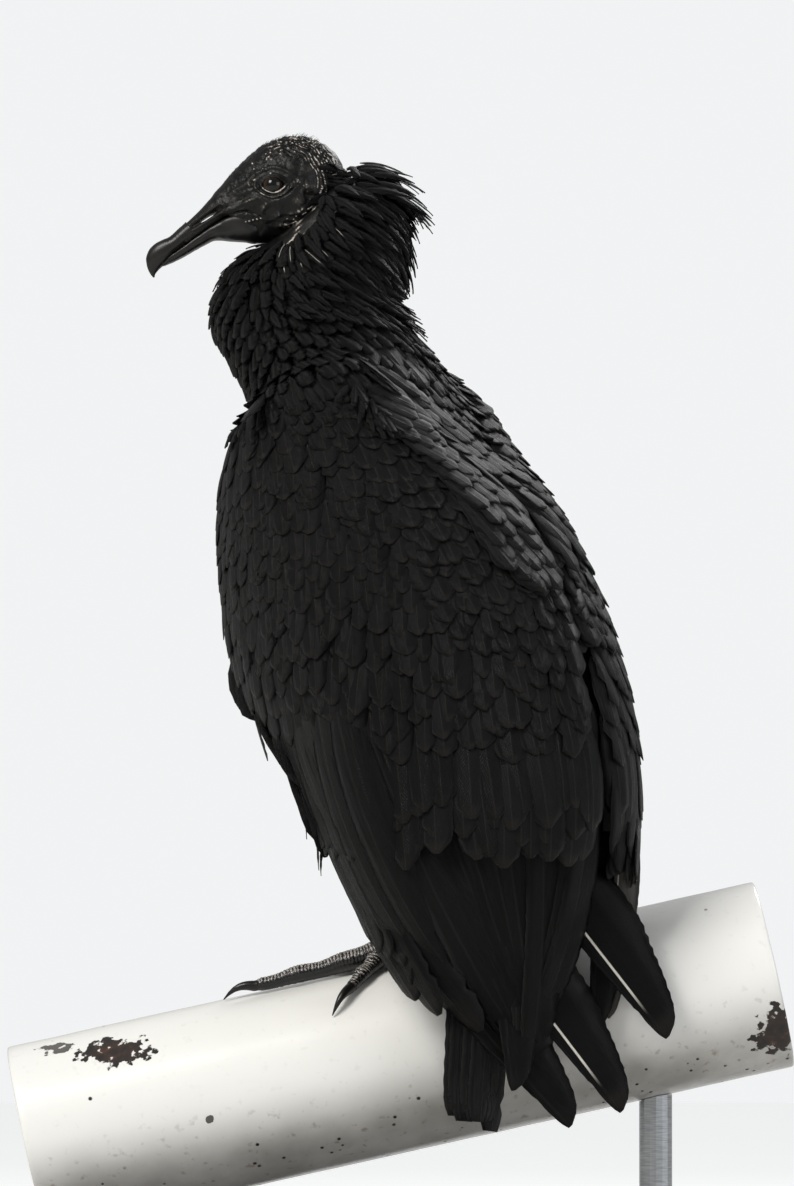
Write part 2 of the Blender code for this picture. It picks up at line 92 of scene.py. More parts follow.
def blendStations(stations, at):
    # the values at one place along a list of stations, smoothly between them
    at = min(max(at, stations[0][0]), stations[-1][0])
    i = max(k for k in range(len(stations) - 1) if stations[k][0] <= at)
    span = stations[i + 1][0] - stations[i][0]
    t = (at - stations[i][0]) / span
    before, after = stations[max(i - 1, 0)], stations[min(i + 2, len(stations) - 1)]
    start, end = stations[i], stations[i + 1]
    values = []
    for c in range(1, len(start)):
        leave = (end[c] - before[c]) / (end[0] - before[0]) * span
        arrive = (after[c] - start[c]) / (after[0] - start[0]) * span
        values.append(
            (2 * t**3 - 3 * t**2 + 1) * start[c] + (t**3 - 2 * t**2 + t) * leave
            + (3 * t**2 - 2 * t**3) * end[c] + (t**3 - t**2) * arrive
        )
    return values


def stationRows(stations, places):
    return np.array([blendStations(stations, at) for at in places])


def gridObject(name, rows):
    # a closed tube through rings of points, rows[ring, place], with a fan over each end
    rings, count = rows.shape[:2]
    points = list(rows.reshape(-1, 3)) + [rows[0].mean(0), rows[-1].mean(0)]
    faces = []
    for r in range(rings - 1):
        for i in range(count):
            j = (i + 1) % count
            faces.append((r * count + i, r * count + j, (r + 1) * count + j, (r + 1) * count + i))
    first, last = rings * count, rings * count + 1
    for i in range(count):
        j = (i + 1) % count
        faces.append((j, i, first))
        faces.append(((rings - 1) * count + i, (rings - 1) * count + j, last))
    mesh = bpy.data.meshes.new(name)
    mesh.from_pydata([tuple(p) for p in points], [], faces)
    shape = bmesh.new()
    shape.from_mesh(mesh)
    bmesh.ops.recalc_face_normals(shape, faces=shape.faces)
    shape.to_mesh(mesh)
    shape.free()
    mesh.shade_smooth()
    return addPiece(name, mesh)


def evaluated(source):
    # the object's final mesh in place of its first one, with no modifiers left
    graph = bpy.context.evaluated_depsgraph_get()
    mesh = bpy.data.meshes.new_from_object(source.evaluated_get(graph))
    source.modifiers.clear()
    source.data = mesh
    return source


def merged(target, others, operation="UNION"):
    for other in others:
        cut = target.modifiers.new("boolean", "BOOLEAN")
        cut.operation = operation
        cut.solver = "MANIFOLD"
        cut.object = other
        evaluated(target)
        bpy.data.objects.remove(other)
    return target


def tubeRings(path, radii, count, up=Vector((0, 0, 1))):
    # rings round a path of points, each with its own radius and square to the path
    rows = []
    for i, point in enumerate(path):
        ahead = (path[min(i + 1, len(path) - 1)] - path[max(i - 1, 0)]).normalized()
        side = ahead.cross(up).normalized()
        top = side.cross(ahead)
        turns = [2 * math.pi * k / count for k in range(count)]
        rows.append([point + (side * math.cos(a) + top * math.sin(a)) * radii[i] for a in turns])
    return np.array(rows)


def normalsOf(rows):
    # outward normals of a grid of rings
    along = np.gradient(rows, axis=0)
    around = np.roll(rows, -1, axis=1) - np.roll(rows, 1, axis=1)
    normal = np.cross(around, along)
    normal /= np.maximum(np.linalg.norm(normal, axis=2, keepdims=True), 1e-12)
    outward = rows - rows.mean(1, keepdims=True)
    flip = np.sign((normal * outward).sum(2).mean())
    return normal * flip


def grain(points, size, seed=0.0):
    # smooth noise in -1..1 at each point, with features of one size in metres
    flat = np.asarray(points).reshape(-1, 3) / size + seed
    values = [noise.noise(Vector(p), noise_basis="BLENDER") for p in flat]
    return np.array(values).reshape(np.asarray(points).shape[:-1])


def pebbles(points, size):
    # rounded bumps, 1 at each bump's middle and 0 between them
    flat = np.asarray(points).reshape(-1, 3) / size
    values = [max(0.0, 1 - 1.6 * noise.voronoi(Vector(p))[0][0]) for p in flat]
    return np.array(values).reshape(np.asarray(points).shape[:-1])


def turnsOf(count):
    return np.linspace(0, 2 * math.pi, count, endpoint=False)


def cornered(values, power):
    # a sine or cosine that stays longer near its ends, so that a ring of them has corners
    return np.sign(values) * np.abs(values) ** power


def addField(mesh, name, values, kind="FLOAT"):
    place = "vector" if kind == "FLOAT_VECTOR" else "value"
    mesh.attributes.new(name, kind, "POINT").data.foreach_set(place, values)


def readPlaces(items, name):
    places = np.empty(len(items) * 3)
    items.foreach_get(name, places)
    return places.reshape(-1, 3)


def bump(distance, width):
    return np.exp(-(distance / width) ** 2)


def smoothStep(low, high, values):
    t = np.clip((np.asarray(values, float) - low) / (high - low), 0, 1)
    return t * t * (3 - 2 * t)


view = {
    "eye": (-0.002, -5.0, 0.171), "aim": (-0.002, 0.0, 0.406), "lens": 276, "farthest": 60,
    "floor": ((0.3, "#d9d9d7"), (0.7, "#dcdcda")), "floorRadius": 14.0, "floorDrop": 0.0005,
    "floorGlow": 0.62,
    "sky": "#f7f8f9", "skyStrength": 0.95, "skyLight": 0.40,
    # a broad key above the near left, a fill, and a strip behind that edges the dark feathers
    "lamps": (
        ("key", (-1.9, -2.3, 2.7), 1.5, 116, "#fffdf8"),
        ("fill", (2.6, -2.0, 1.2), 1.8, 30, "#f4f7ff"),
        ("rim", (1.4, 2.2, 2.6), 1.2, 62, "#ffffff"),
    ),
    "lampAim": (0, 0, 0.38),
}


def aimed(name, data, place, target):
    made = addPiece(name, data)
    made.location = place
    made.rotation_euler = (Vector(target) - Vector(place)).to_track_quat("-Z", "Y").to_euler()
    return made


def makeFloor():
    # matt painted studio floor: pale, with only a broad soft shine
    paint, tree, shader, place = newMaterial("matt studio floor paint")
    cloud = addNode(tree, "ShaderNodeTexNoise", {"Vector": place, "Scale": 1.3, "Detail": 3.0})
    # to the eye it runs on into the bright sky behind it
    direct = addNode(tree, "ShaderNodeLightPath", out="Is Camera Ray")
    glow = addNode(tree, "ShaderNodeMath", (direct, view["floorGlow"]), operation="MULTIPLY")
    connect(tree, shader, {
        "Base Color": addNode(tree, "ShaderNodeValToRGB", (cloud,), stops=view["floor"]),
        "Roughness": 0.75, "Emission Color": view["sky"], "Emission Strength": glow})
    shape = bmesh.new()
    bmesh.ops.create_circle(shape, cap_ends=True, segments=96, radius=view["floorRadius"])
    mesh = bpy.data.meshes.new("floor")
    shape.to_mesh(mesh)
    shape.free()
    mesh.materials.append(paint)
    floor = addPiece("floor", mesh)
    floor.location.z = -view["floorDrop"]


def makeStage():
    camera = aimed("camera", bpy.data.cameras.new("camera"), view["eye"], view["aim"])
    camera.data.lens = view["lens"]
    camera.data.clip_end = view["farthest"]
    bpy.context.scene.camera = camera
    makeFloor()

    world = bpy.data.worlds.new("studio")
    world.use_nodes = True
    tree = world.node_tree
    # dark feathers need a sky that looks bright and lights little
    seen = addNode(tree, "ShaderNodeLightPath", out="Is Camera Ray")
    strength = addNode(tree, "ShaderNodeMapRange", {
        "Value": seen, "To Min": view["skyLight"], "To Max": view["skyStrength"]})
    connect(tree, tree.nodes["Background"], {"Color": view["sky"], "Strength": strength})
    bpy.context.scene.world = world
    bpy.context.scene.view_settings.view_transform = "Standard"

    for name, place, size, power, colour in view["lamps"]:
        lamp = bpy.data.lights.new(name, "AREA")
        lamp.energy, lamp.size = power, size
        lamp.color = tint(colour)[:3]
        aimed(name, lamp, place, view["lampAim"])


makeStage()
print("stage, camera and lights made")


head = {
    "centre": (-0.057, 0.017, 0.627), "pitch": 30.7, "rings": 236, "around": 196, "crowd": 0.27,
    "back": -0.030, "hornStart": 0.0635, "skinEnd": 0.0665,
    # forward, top, underside, half width
    "form": (
        (-0.0300, 0.010, 0.002, 0.004), (-0.0265, 0.018, -0.008, 0.0115),
        (-0.0200, 0.0255, -0.015, 0.0168), (-0.0100, 0.0315, -0.020, 0.0200),
        (0.0020, 0.0335, -0.022, 0.0208), (0.0120, 0.0325, -0.021, 0.0196),
        (0.0220, 0.0302, -0.017, 0.0170), (0.0320, 0.0268, -0.012, 0.0138),
        (0.0400, 0.0240, -0.006, 0.0112), (0.0440, 0.0226, -0.003, 0.0100),
        (0.0520, 0.0202, 0.002, 0.0085), (0.0600, 0.0184, 0.003, 0.0074),
        (0.0680, 0.0172, 0.003, 0.0067),
    ),
    # the line where the bill closes: forward, up
    "mouth": (
        (0.0240, -0.0012), (0.0262, 0.0022), (0.0290, 0.0058), (0.0330, 0.0078), (0.0420, 0.0094),
        (0.0506, 0.0092), (0.0627, 0.0082), (0.0700, 0.0074), (0.0780, 0.0068), (0.0860, 0.0058),
    ),
    "eye": (0.0092, 0.0105), "eyeSide": 0.0152, "eyeRadius": 0.0064, "cornea": (0.035, 0.62),
    "lidReach": (0.0060, 0.0040), "lidPoint": 1.6, "lidThick": 0.00045, "lidDeep": 0.0022,
    "nostril": ((0.0405, 0.0149), (0.0590, 0.0144)), "nostrilHalf": 0.0017, "nostrilShare": (0.12, 0.66),
    "ear": (-0.0048, -0.0050), "earReach": 0.0022, "earPatch": (-0.0034, 0.0034),
    "wrinkleMiddle": (0.003, 0.0086), "wrinkleGap": 0.00155, "wrinkleDepth": 0.00034,
    # the skin's grain: coarse, fine and pebbly
    "rough": 0.0045, "fine": 0.0016, "bead": 0.0021,
    # folds round the eye: share of the lids' opening, breadth, height above the eye and below it
    "lidFolds": (
        (1.16, 0.13, 0.00075, 0.00075), (1.45, 0.12, -0.0005, -0.0005), (1.74, 0.13, 0.0002475, 0.00055),
        (2.02, 0.13, -0.0004, -0.0004), (2.4, 0.30, 0.0007, 0.00014),
    ),
    # the hollow in front of the eye: forward, up, reach, depth
    "hollow": (0.0270, 0.0135, 0.0036, 0.0011),
    # ridges of the brow, lore, lip, mouth's corner, temple and jaw: places, height, breadth
    "ridges": (
        (((0.0150, 0.0205), (0.0200, 0.0190), (0.0270, 0.0190), (0.0350, 0.0190)), 0.00050, 0.0013),
        (((0.0163, 0.0133), (0.0243, 0.0150), (0.0290, 0.0160)), 0.00060, 0.0008),
        (((0.0180, 0.0080), (0.0250, 0.0104), (0.0310, 0.0106), (0.0370, 0.0112), (0.0450, 0.0128)),
         0.00070, 0.0011),
        (((0.0325, 0.0040), (0.0270, 0.0030), (0.0235, -0.0008)), 0.00050, 0.0007),
        (((-0.0010, 0.0125), (0.0015, 0.0060), (0.0005, -0.0010)), 0.00040, 0.0012),
        (((0.0180, -0.0040), (0.0080, -0.0085), (-0.0030, -0.0120)), 0.00045, 0.0012),
        (((0.0210, -0.0085), (0.0120, -0.0128), (0.0010, -0.0160)), 0.00045, 0.0012),
    ),
    "warts": ((0.0325, 0.0011), (0.0245, -0.0017)), "wartCount": 4,
}
pitch = math.radians(head["pitch"])
headAxes = np.array([
    (-math.cos(pitch), 0, -math.sin(pitch)), (0, -1, 0), (-math.sin(pitch), 0, math.cos(pitch)),
])  # forward, the bird's left, up


def headPoints(forward, side, up):
    local = np.stack(np.broadcast_arrays(forward, side, up), axis=-1)
    return local @ headAxes + np.array(head["centre"])


def headPlaces(points):
    return (np.asarray(points) - np.array(head["centre"])) @ headAxes.T


def mouthLine(forward):
    places = np.array(head["mouth"])
    return np.interp(forward, places[:, 0], places[:, 1])


def lineDistance(forward, up, points):
    # distance to a broken line in the plane of the head's side, and how far along it
    best = np.full(np.shape(forward), 1.0)
    share = np.zeros(np.shape(forward))
    for i, (start, end) in enumerate(zip(points, points[1:])):
        run = (end[0] - start[0], end[1] - start[1])
        t = ((forward - start[0]) * run[0] + (up - start[1]) * run[1]) / (run[0] ** 2 + run[1] ** 2)
        t = np.clip(t, 0, 1)
        off = np.hypot(forward - start[0] - run[0] * t, up - start[1] - run[1] * t)
        share = np.where(off < best, (i + t) / (len(points) - 1), share)
        best = np.minimum(best, off)
    return best, share


def eyePlaces(forward, up):
    # level and upright distances from the eye's middle, and their share of the lids' opening
    ahead, above = forward - head["eye"][0], up - head["eye"][1]
    level = ahead * math.cos(pitch) + above * math.sin(pitch)
    upright = above * math.cos(pitch) - ahead * math.sin(pitch)
    wide, tall = np.abs(level) / head["lidReach"][0], np.abs(upright) / head["lidReach"][1]
    reach = (wide ** head["lidPoint"] + tall ** head["lidPoint"]) ** (1 / head["lidPoint"])
    return level, upright, reach


def headRelief(points):
    # how far the skin stands out from the plain form of the head, and how pale its ridges are: dry grey
    # scurf, with highlights painted on
    forward, side, up = np.moveaxis(headPlaces(points), -1, 0)
    flank = smoothStep(0.004, 0.009, np.abs(side))
    rough = grain(points, head["rough"])
    fine = grain(points, head["fine"], 7.0)
    relief = 0.00030 * rough + 0.00016 * fine
    paleAndGlint = 0.22 + 0.34 * rough + 0.12 * fine

    # pebbly crown and forehead, with pale flecks painted on as glints
    crown = smoothStep(0.014, 0.021, up + 0.10 * forward) * smoothStep(0.040, 0.026, forward)
    beads = pebbles(points, head["bead"])
    relief += 0.00042 * crown * beads
    flecked = crown * (0.25 + 0.75 * smoothStep(0.022, 0.010, forward)) * smoothStep(0.0315, 0.0270, up)
    paleAndGlint += 1.5 * flecked * smoothStep(0.40, 0.70, beads) * smoothStep(-0.25, 0.3, grain(points, 0.006, 3.0))

    # slack folds over the cheek and under the jaw, their crests painted pale as highlights
    folds = 1 - 2 * np.abs(grain(points, 0.0105, 21.0))
    cheek = flank * smoothStep(0.036, 0.026, forward) * smoothStep(0.009, 0.003, up)
    relief += 0.00075 * cheek * (smoothStep(0.3, 1.0, folds) - 0.5)
    paleAndGlint += 0.22 * cheek * smoothStep(0.6, 1.0, folds) * (0.5 + fine)

    # ring on ring of wrinkles from the back of the crown round to the throat, their crests painted pale as
    # highlights
    ahead, above = forward - head["wrinkleMiddle"][0], up - head["wrinkleMiddle"][1]
    reach = np.hypot(ahead, above * 0.92)
    turn = np.degrees(np.arctan2(above, -ahead))
    ringed = smoothStep(0.0150, 0.0185, reach) * smoothStep(-135, -105, turn) * smoothStep(100, 70, turn)
    wander = 0.0011 * grain(points, 0.0075, 5.0) + 0.0005 * rough
    wave = np.cos(2 * math.pi * (reach + wander) / head["wrinkleGap"])
    knots = 0.55 + 0.45 * grain(points, 0.0026, 11.0)
    relief += head["wrinkleDepth"] * ringed * wave * (0.6 + 0.8 * knots)
    paleAndGlint += 1.2 * ringed * smoothStep(0.35, 0.95, wave) * smoothStep(0.30, 0.75, knots)

    # lids, the folds under them and the brow over them
    upright, opening = eyePlaces(forward, up)[1:]
    lower = smoothStep(0.001, -0.002, upright)
    for share, broad, above, below in head["lidFolds"]:
        relief += flank * (above + (below - above) * lower) * bump(opening - share, broad)
    rims = bump(opening - 1.14, 0.08) + 0.6 * bump(opening - 1.74, 0.08)
    paleAndGlint += 0.85 * flank * (0.12 + 0.88 * lower) * rims

    # the hollow in front of the eye, with a ridge above it and the lip's ridge below
    ahead, above, reach, deep = head["hollow"]
    relief -= deep * flank * bump(np.hypot((forward - ahead) / 1.9, up - above), reach)
    for path, high, wide in head["ridges"]:
        off, share = lineDistance(forward, up + 0.0005 * rough, path)
        ends = smoothStep(0.0, 0.15, share) * smoothStep(1.0, 0.85, share)
        relief += high * flank * bump(off, wide) * (0.35 + 0.65 * ends)
        paleAndGlint += 0.40 * flank * bump(off, wide * 0.6) * ends * (0.6 + 0.7 * rough)

    # corner of the mouth: a groove that runs on from the bill and turns down, with a row of small warts
    off, share = lineDistance(forward, up, head["mouth"][:6])
    relief -= 0.0012 * flank * bump(off, 0.00055) * smoothStep(0.047, 0.040, forward)
    off, share = lineDistance(forward, up, head["warts"])
    warts = np.cos(share * head["wartCount"] * 2 * math.pi) * 0.5 + 0.5
    relief += 0.00055 * flank * bump(off, 0.0007) * warts
    paleAndGlint += 1.0 * flank * bump(off, 0.0006) * warts

    # ear
    off = np.hypot(forward - head["ear"][0], (up - head["ear"][1]) * 0.8)
    relief += flank * (0.0006 * bump(off - 0.0036, 0.0009) - 0.0028 * bump(off, head["earReach"]))
    patch = bump(np.hypot(forward - head["earPatch"][0], up - head["earPatch"][1]), 0.0042)
    relief += 0.0003 * flank * patch * beads
    paleAndGlint += 0.6 * flank * patch * smoothStep(0.3, 0.7, beads)

    # the bill's soft base is smooth, with a low rim round the nostril
    smooth = smoothStep(0.036, 0.050, forward)
    relief *= 1 - 0.85 * smooth
    paleAndGlint = paleAndGlint * (1 - smooth) + 0.42 * smooth
    start, end = head["nostril"]
    off, share = lineDistance(forward, up, (start, end))
    relief += flank * (0.00045 * bump(off - 0.0021, 0.0009) - 0.0016 * bump(off, 0.0012))
    return relief, np.clip(paleAndGlint, 0, 1)


def headRings(places, count, low, high, squareness, closed, crowd=0.0):
    # rings across the head between two outlines; where the bill closes, their lower corners are square
    half = stationRows(head["form"], places)[:, 2]
    base = turnsOf(count)
    turn = base - crowd * np.sin(2 * base)
    beneath = (np.sin(turn) < 0) * closed[:, None]
    square = squareness[:, None] * (1 - beneath) + 0.36 * beneath
    side = half[:, None] * cornered(np.cos(turn), square)
    middle, tall = (high + low) / 2, (high - low) / 2
    rise = cornered(np.sin(turn), 1 - 0.6 * beneath)
    up = middle[:, None] + tall[:, None] * rise
    return headPoints(places[:, None], side, up)


def makeHeadSkin():
    even = np.linspace(head["back"], head["skinEnd"], 2000)
    weight = np.cumsum(1 + 1.1 * bump(even - head["eye"][0], 0.0075))
    places = np.interp(np.linspace(weight[0], weight[-1], head["rings"]), weight, even)
    top, under = stationRows(head["form"], places).T[:2]
    closed = smoothStep(0.0335, 0.0400, places)
    under = under * (1 - closed) + (mouthLine(places) + 0.0001) * closed
    tucked = smoothStep(head["hornStart"], head["hornStart"] + 0.0008, places)
    square = 0.92 - 0.2 * smoothStep(0.034, 0.046, places)
    top = top - 0.0006 * tucked
    rows = headRings(places, head["around"], under, top, square, closed, crowd=head["crowd"])
    relief = headRelief(rows)[0]
    calm = smoothStep(head["back"], head["back"] + 0.004, places) * smoothStep(0.0655, 0.062, places)
    rows = rows + normalsOf(rows) * (relief * calm[:, None])[..., None]

    # the lids close on the eyeball, and between them the skin turns in behind it
    forward, side, up = np.moveaxis(headPlaces(rows), -1, 0)
    opening = eyePlaces(forward, up)[2]
    reach = np.minimum(np.hypot(forward - head["eye"][0], up - head["eye"][1]), head["eyeRadius"])
    ball = head["eyeSide"] + np.sqrt(head["eyeRadius"] ** 2 - reach ** 2)
    lid = np.maximum(np.abs(side), ball + head["lidThick"] * smoothStep(1.6, 1.2, opening))
    gap = smoothStep(1.03, 0.93, opening)
    near = (opening < 1.7) & (np.abs(side) > 0.010)
    side = np.where(near, np.sign(side) * (lid * (1 - gap) + (ball - head["lidDeep"]) * gap), side)
    rows = headPoints(forward, side, up)
    skin = gridObject("skin", rows)

    # the nostrils open right through the bill
    start, end = (np.array(p) for p in head["nostril"])
    slit = []
    for t in np.linspace(0, 1, 15):
        at = start + (end - start) * (head["nostrilShare"][0] + head["nostrilShare"][1] * t)
        tall = head["nostrilHalf"] * math.sqrt(max(0.03, 1 - (2 * t - 1) ** 2))
        turns = turnsOf(16)
        slit.append(headPoints(at[0], 0.014 * np.cos(turns), at[1] - 0.0002 + tall * np.sin(turns) * 0.75))
    return merged(skin, [gridObject("nostril", np.array(slit))], "DIFFERENCE")


bill = {
    "rings": 72, "around": 56,
    # the horn's middle line: share along it, forward, up, half height, half width
    "hook": (
        (0.00, 0.0600, 0.01375, 0.0052, 0.0077), (0.16, 0.0665, 0.01275, 0.0049, 0.0071),
        (0.32, 0.0728, 0.01190, 0.0046, 0.0066), (0.46, 0.0775, 0.01175, 0.0054, 0.0063),
        (0.60, 0.0820, 0.01120, 0.0059, 0.0057), (0.72, 0.0855, 0.00960, 0.0056, 0.0049),
        (0.82, 0.0880, 0.00740, 0.0044, 0.0039), (0.90, 0.0899, 0.00520, 0.0027, 0.0026),
        (0.96, 0.0911, 0.00320, 0.0013, 0.0014), (1.00, 0.0915, 0.00150, 0.0004, 0.0005),
    ),
    # forward, underside, half width of the lower bill; its top follows the line of the mouth
    "lower": (
        (0.0290, -0.0115, 0.0122), (0.0335, -0.0112, 0.0131), (0.0360, -0.0094, 0.0127),
        (0.0385, -0.0073, 0.0119), (0.0443, -0.0034, 0.0100), (0.0520, 0.0018, 0.0085),
        (0.0600, 0.0026, 0.0072), (0.0700, 0.0028, 0.0060),
        (0.0780, 0.0032, 0.0046), (0.0840, 0.0042, 0.0026), (0.0862, 0.0050, 0.0008),
    ),
}


def makeBill():
    # upper horn: rings square to a middle line that turns down into the hook
    rows = []
    along = np.linspace(0, 1, bill["rings"])
    line = stationRows(bill["hook"], along)
    turns = turnsOf(bill["around"])
    heading = np.gradient(line[:, :2], axis=0)
    heading /= np.linalg.norm(heading, axis=1, keepdims=True)
    for (forward, up, tall, half), (ahead, above) in zip(line, heading):
        across = half * cornered(np.cos(turns), 0.78)
        rise = tall * cornered(np.sin(turns), np.where(np.sin(turns) < 0, 0.6, 1.0))
        rows.append(headPoints(forward - above * rise, across, up + ahead * rise))
    rows = np.array(rows)
    places = headPlaces(rows)
    growth = np.cos(places[..., 0] * 2 * math.pi / 0.0021) * smoothStep(0.084, 0.070, places[..., 0])
    edge = bump(places[..., 2] - mouthLine(places[..., 0]) - 0.0014, 0.0008)
    edge *= smoothStep(0.089, 0.084, places[..., 0])
    relief = 0.00003 * growth + 0.00008 * grain(rows, 0.004, 2.0) - 0.00018 * edge
    upper = gridObject("billUpper", rows + normalsOf(rows) * relief[..., None])

    places = np.linspace(bill["lower"][0][0], bill["lower"][-1][0], 80)
    under, half = stationRows(bill["lower"], places).T
    top = mouthLine(places) + 0.00030
    rows = []
    for forward, low, high, wide in zip(places, under, top, half):
        above = np.sin(turns) > 0
        across = wide * cornered(np.cos(turns), np.where(above, 0.36, 0.75))
        rise = cornered(np.sin(turns), np.where(above, 0.4, 1.0))
        rows.append(headPoints(forward, across, (low + high) / 2 + (high - low) / 2 * rise))
    rows = np.array(rows)
    forward, side, up = np.moveaxis(headPlaces(rows), -1, 0)
    ridge = lineDistance(forward, up, ((0.036, 0.0010), (0.048, 0.0045), (0.062, 0.0052), (0.078, 0.0048)))[0]
    relief = 0.00012 * grain(rows, 0.003, 5.0) - 0.00030 * bump(ridge, 0.0007)
    lower = gridObject("billLower", rows + normalsOf(rows) * relief[..., None])
    return upper, lower


def makeEyes():
    # an eyeball each, with the clear front standing a little proud of the iris
    made = []
    for name, way in (("eyeLeft", 1), ("eyeRight", -1)):
        steps = np.linspace(0.02, math.pi - 0.02, 40)
        turns = turnsOf(56)
        radius = head["eyeRadius"] * (1 + head["cornea"][0] * bump(steps, head["cornea"][1]))
        out = radius * np.cos(steps)
        ring = radius * np.sin(steps)
        forward = head["eye"][0] + ring[:, None] * np.cos(turns)
        up = head["eye"][1] + ring[:, None] * np.sin(turns)
        side = way * (head["eyeSide"] + out[:, None] + 0 * forward)
        eye = gridObject(name, headPoints(forward, side, up))
        off = np.concatenate([np.repeat(steps / math.pi * 2, len(turns)), (0.0, 2.0)])
        addField(eye.data, "off", off)
        made.append(eye)
    return made


skin = makeHeadSkin()
billUpper, billLower = makeBill()
eyes = makeEyes()
print("head skin:", len(skin.data.polygons), "faces")


# the body's shells carry the skin and the roots of the feathers
body = {
    # height, middle x, middle y, turn of the bird's left side from -X towards -Y
    "spine": (
        (0.110, 0.066, -0.073, 20), (0.188, 0.062, -0.067, 22), (0.230, 0.047, -0.054, 30),
        (0.260, 0.043, -0.046, 38), (0.300, 0.036, -0.036, 46), (0.350, 0.019, -0.022, 51),
        (0.450, -0.006, -0.003, 52), (0.510, -0.021, 0.009, 55), (0.553, -0.049, 0.017, 72),
        (0.580, -0.0505, 0.018, 84), (0.610, -0.034, 0.017, 88), (0.660, -0.024, 0.018, 88),
    ),
    "skinLow": 0.262, "skinHigh": 0.636, "rings": 104, "around": 88,
    "coatDepth": 0.0075, "neckDepth": 0.0055, "neckFrom": 0.52, "neckTo": 0.58, "armLow": 0.303,
    "voxel": 0.003, "smooth": 7, "wingVoxel": 0.0022, "wingSmooth": 5,
}


def spineAt(height):
    x, y, turn = blendStations(body["spine"], height)
    angle = math.radians(turn)
    left = Vector((-math.cos(angle), -math.sin(angle), 0))
    back = Vector((math.sin(angle), -math.cos(angle), 0))
    return Vector((x, y, height)), left, back


def joinedNodes(name, names):
    shape = bmesh.new()
    for node in names:
        shape.from_mesh(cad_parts[node].data)
    bmesh.ops.remove_doubles(shape, verts=shape.verts, dist=1e-5)
    mesh = bpy.data.meshes.new(name)
    shape.to_mesh(mesh)
    shape.free()
    return addPiece(name, mesh)


def shellOf(names, voxel=body["voxel"], rounds=body["smooth"], outerOnly=False):
    # a smooth shell round some of the solids, as a tree to look places up in
    made = joinedNodes("shell", names)
    remesh = made.modifiers.new("remesh", "REMESH")
    remesh.mode, remesh.voxel_size = "VOXEL", voxel
    soften = made.modifiers.new("soften", "SMOOTH")
    soften.iterations, soften.factor = rounds, 0.5
    evaluated(made)
    points = [v.co.copy() for v in made.data.vertices]
    faces = [tuple(p.vertices) for p in made.data.polygons]
    if outerOnly:
        kept = []
        for face in made.data.polygons:
            middle = spineAt(face.center.z)[0]
            if face.normal.dot(face.center - middle) > 0.25 * (face.center - middle).length:
                kept.append(tuple(face.vertices))
        faces = kept
    bpy.data.objects.remove(made)
    return BVHTree.FromPolygons(points, faces)


def surfaceAt(tree, height, around):
    # the outermost place of a shell at one height and one angle round the spine, from the bird's left
    middle, left, back = spineAt(height)
    angle = math.radians(around)
    way = left * math.cos(angle) + back * math.sin(angle)
    return tree.ray_cast(middle + way * 0.4, -way, 0.4)[:2]


def makeBodySkin():
    heights = np.linspace(body["skinLow"], body["skinHigh"], body["rings"])
    rows = []
    for height in heights:
        middle = spineAt(height)[0]
        tree = trees["mass"] if height > body["armLow"] else trees["trunk"]
        bare = float(smoothStep(body["neckFrom"], body["neckTo"], height))
        depth = body["coatDepth"] + (body["neckDepth"] - body["coatDepth"]) * bare
        row = []
        for around in np.linspace(0, 360, body["around"], endpoint=False):
            spot = surfaceAt(tree, height, around)[0]
            if spot is None:
                row.append(np.array(row[-1] if row else middle))
                continue
            out = spot - middle
            row.append(np.array(middle + out.normalized() * max(0.001, out.length - depth)))
        rows.append(row)
    made = gridObject("bodySkin", np.array(rows))
    soften = made.modifiers.new("soften", "SMOOTH")
    soften.iterations, soften.factor = 4, 0.5
    return evaluated(made)


leg = {
    "railRadius": 0.052, "railRise": 12.5, "railHeight": 0.151, "tarsus": 0.0062, "palm": 0.0086,
    "offRail": 0.0012,
    "thighs": {
        "Left": ((-0.008, -0.034, 0.338), (0.006, -0.036, 0.262)),
        "Right": ((0.024, 0.004, 0.338), (0.056, -0.002, 0.274)),
    },
    # run along the rail, angle from its top towards -Y, heading of the middle toe
    "feet": {"Left": (0.005, 14, 180), "Right": (0.058, -17, 154)},
    # heading from the middle toe, length, radius at the root
    "toes": {
        "Inner": (36, 0.044, 0.0042), "Middle": (0, 0.0745, 0.0048),
        "Outer": (-46, 0.034, 0.0042), "Hind": (172, 0.024, 0.0038),
    },
    # thickness along a toe, swollen at each joint, and along the shank
    "swell": ((0, 1.66), (1 / 6, 1.30), (2 / 6, 1.20), (3 / 6, 0.96), (4 / 6, 1.02), (5 / 6, 0.80),
              (1, 0.78)),
    "thick": ((-0.35, 1.0), (0, 1.15), (0.5, 0.85), (0.9, 0.95), (1.0, 1.15)),
    # the scutes' length and depth and their share of the skin, of shank, ball and toes
    "scutes": {"shank": (0.0040, 0.00022, 0.4), "ball": (0.003, 0.0003, 0.0), "toe": (0.0019, 0.00040, 1.0)},
    "toeRing": 0.00048, "thighRadii": (0.028, 0.0085),
    "claw": {"length": 0.018, "radius": 0.0029, "arch": 0.0020, "gap": 0.0004},
}
rail = {"length": 0.42, "around": 168, "rings": 150, "edge": 0.0015, "wave": 0.00012, "waveSize": 0.02}


def onRail(along, angle, lift):
    rise, turn = math.radians(leg["railRise"]), math.radians(angle)
    direction = Vector((math.cos(rise), 0, math.sin(rise)))
    up = Vector((-math.sin(rise), 0, math.cos(rise)))
    out = up * math.cos(turn) + Vector((0, -1, 0)) * math.sin(turn)
    return Vector((0, 0, leg["railHeight"])) + direction * along + out * (leg["railRadius"] + lift)


def toePlace(along, angle, heading, run, lift):
    turn = math.radians(heading)
    roundRail = math.degrees(-math.sin(turn) * run / leg["railRadius"])
    return onRail(along + math.cos(turn) * run, angle + roundRail, lift)


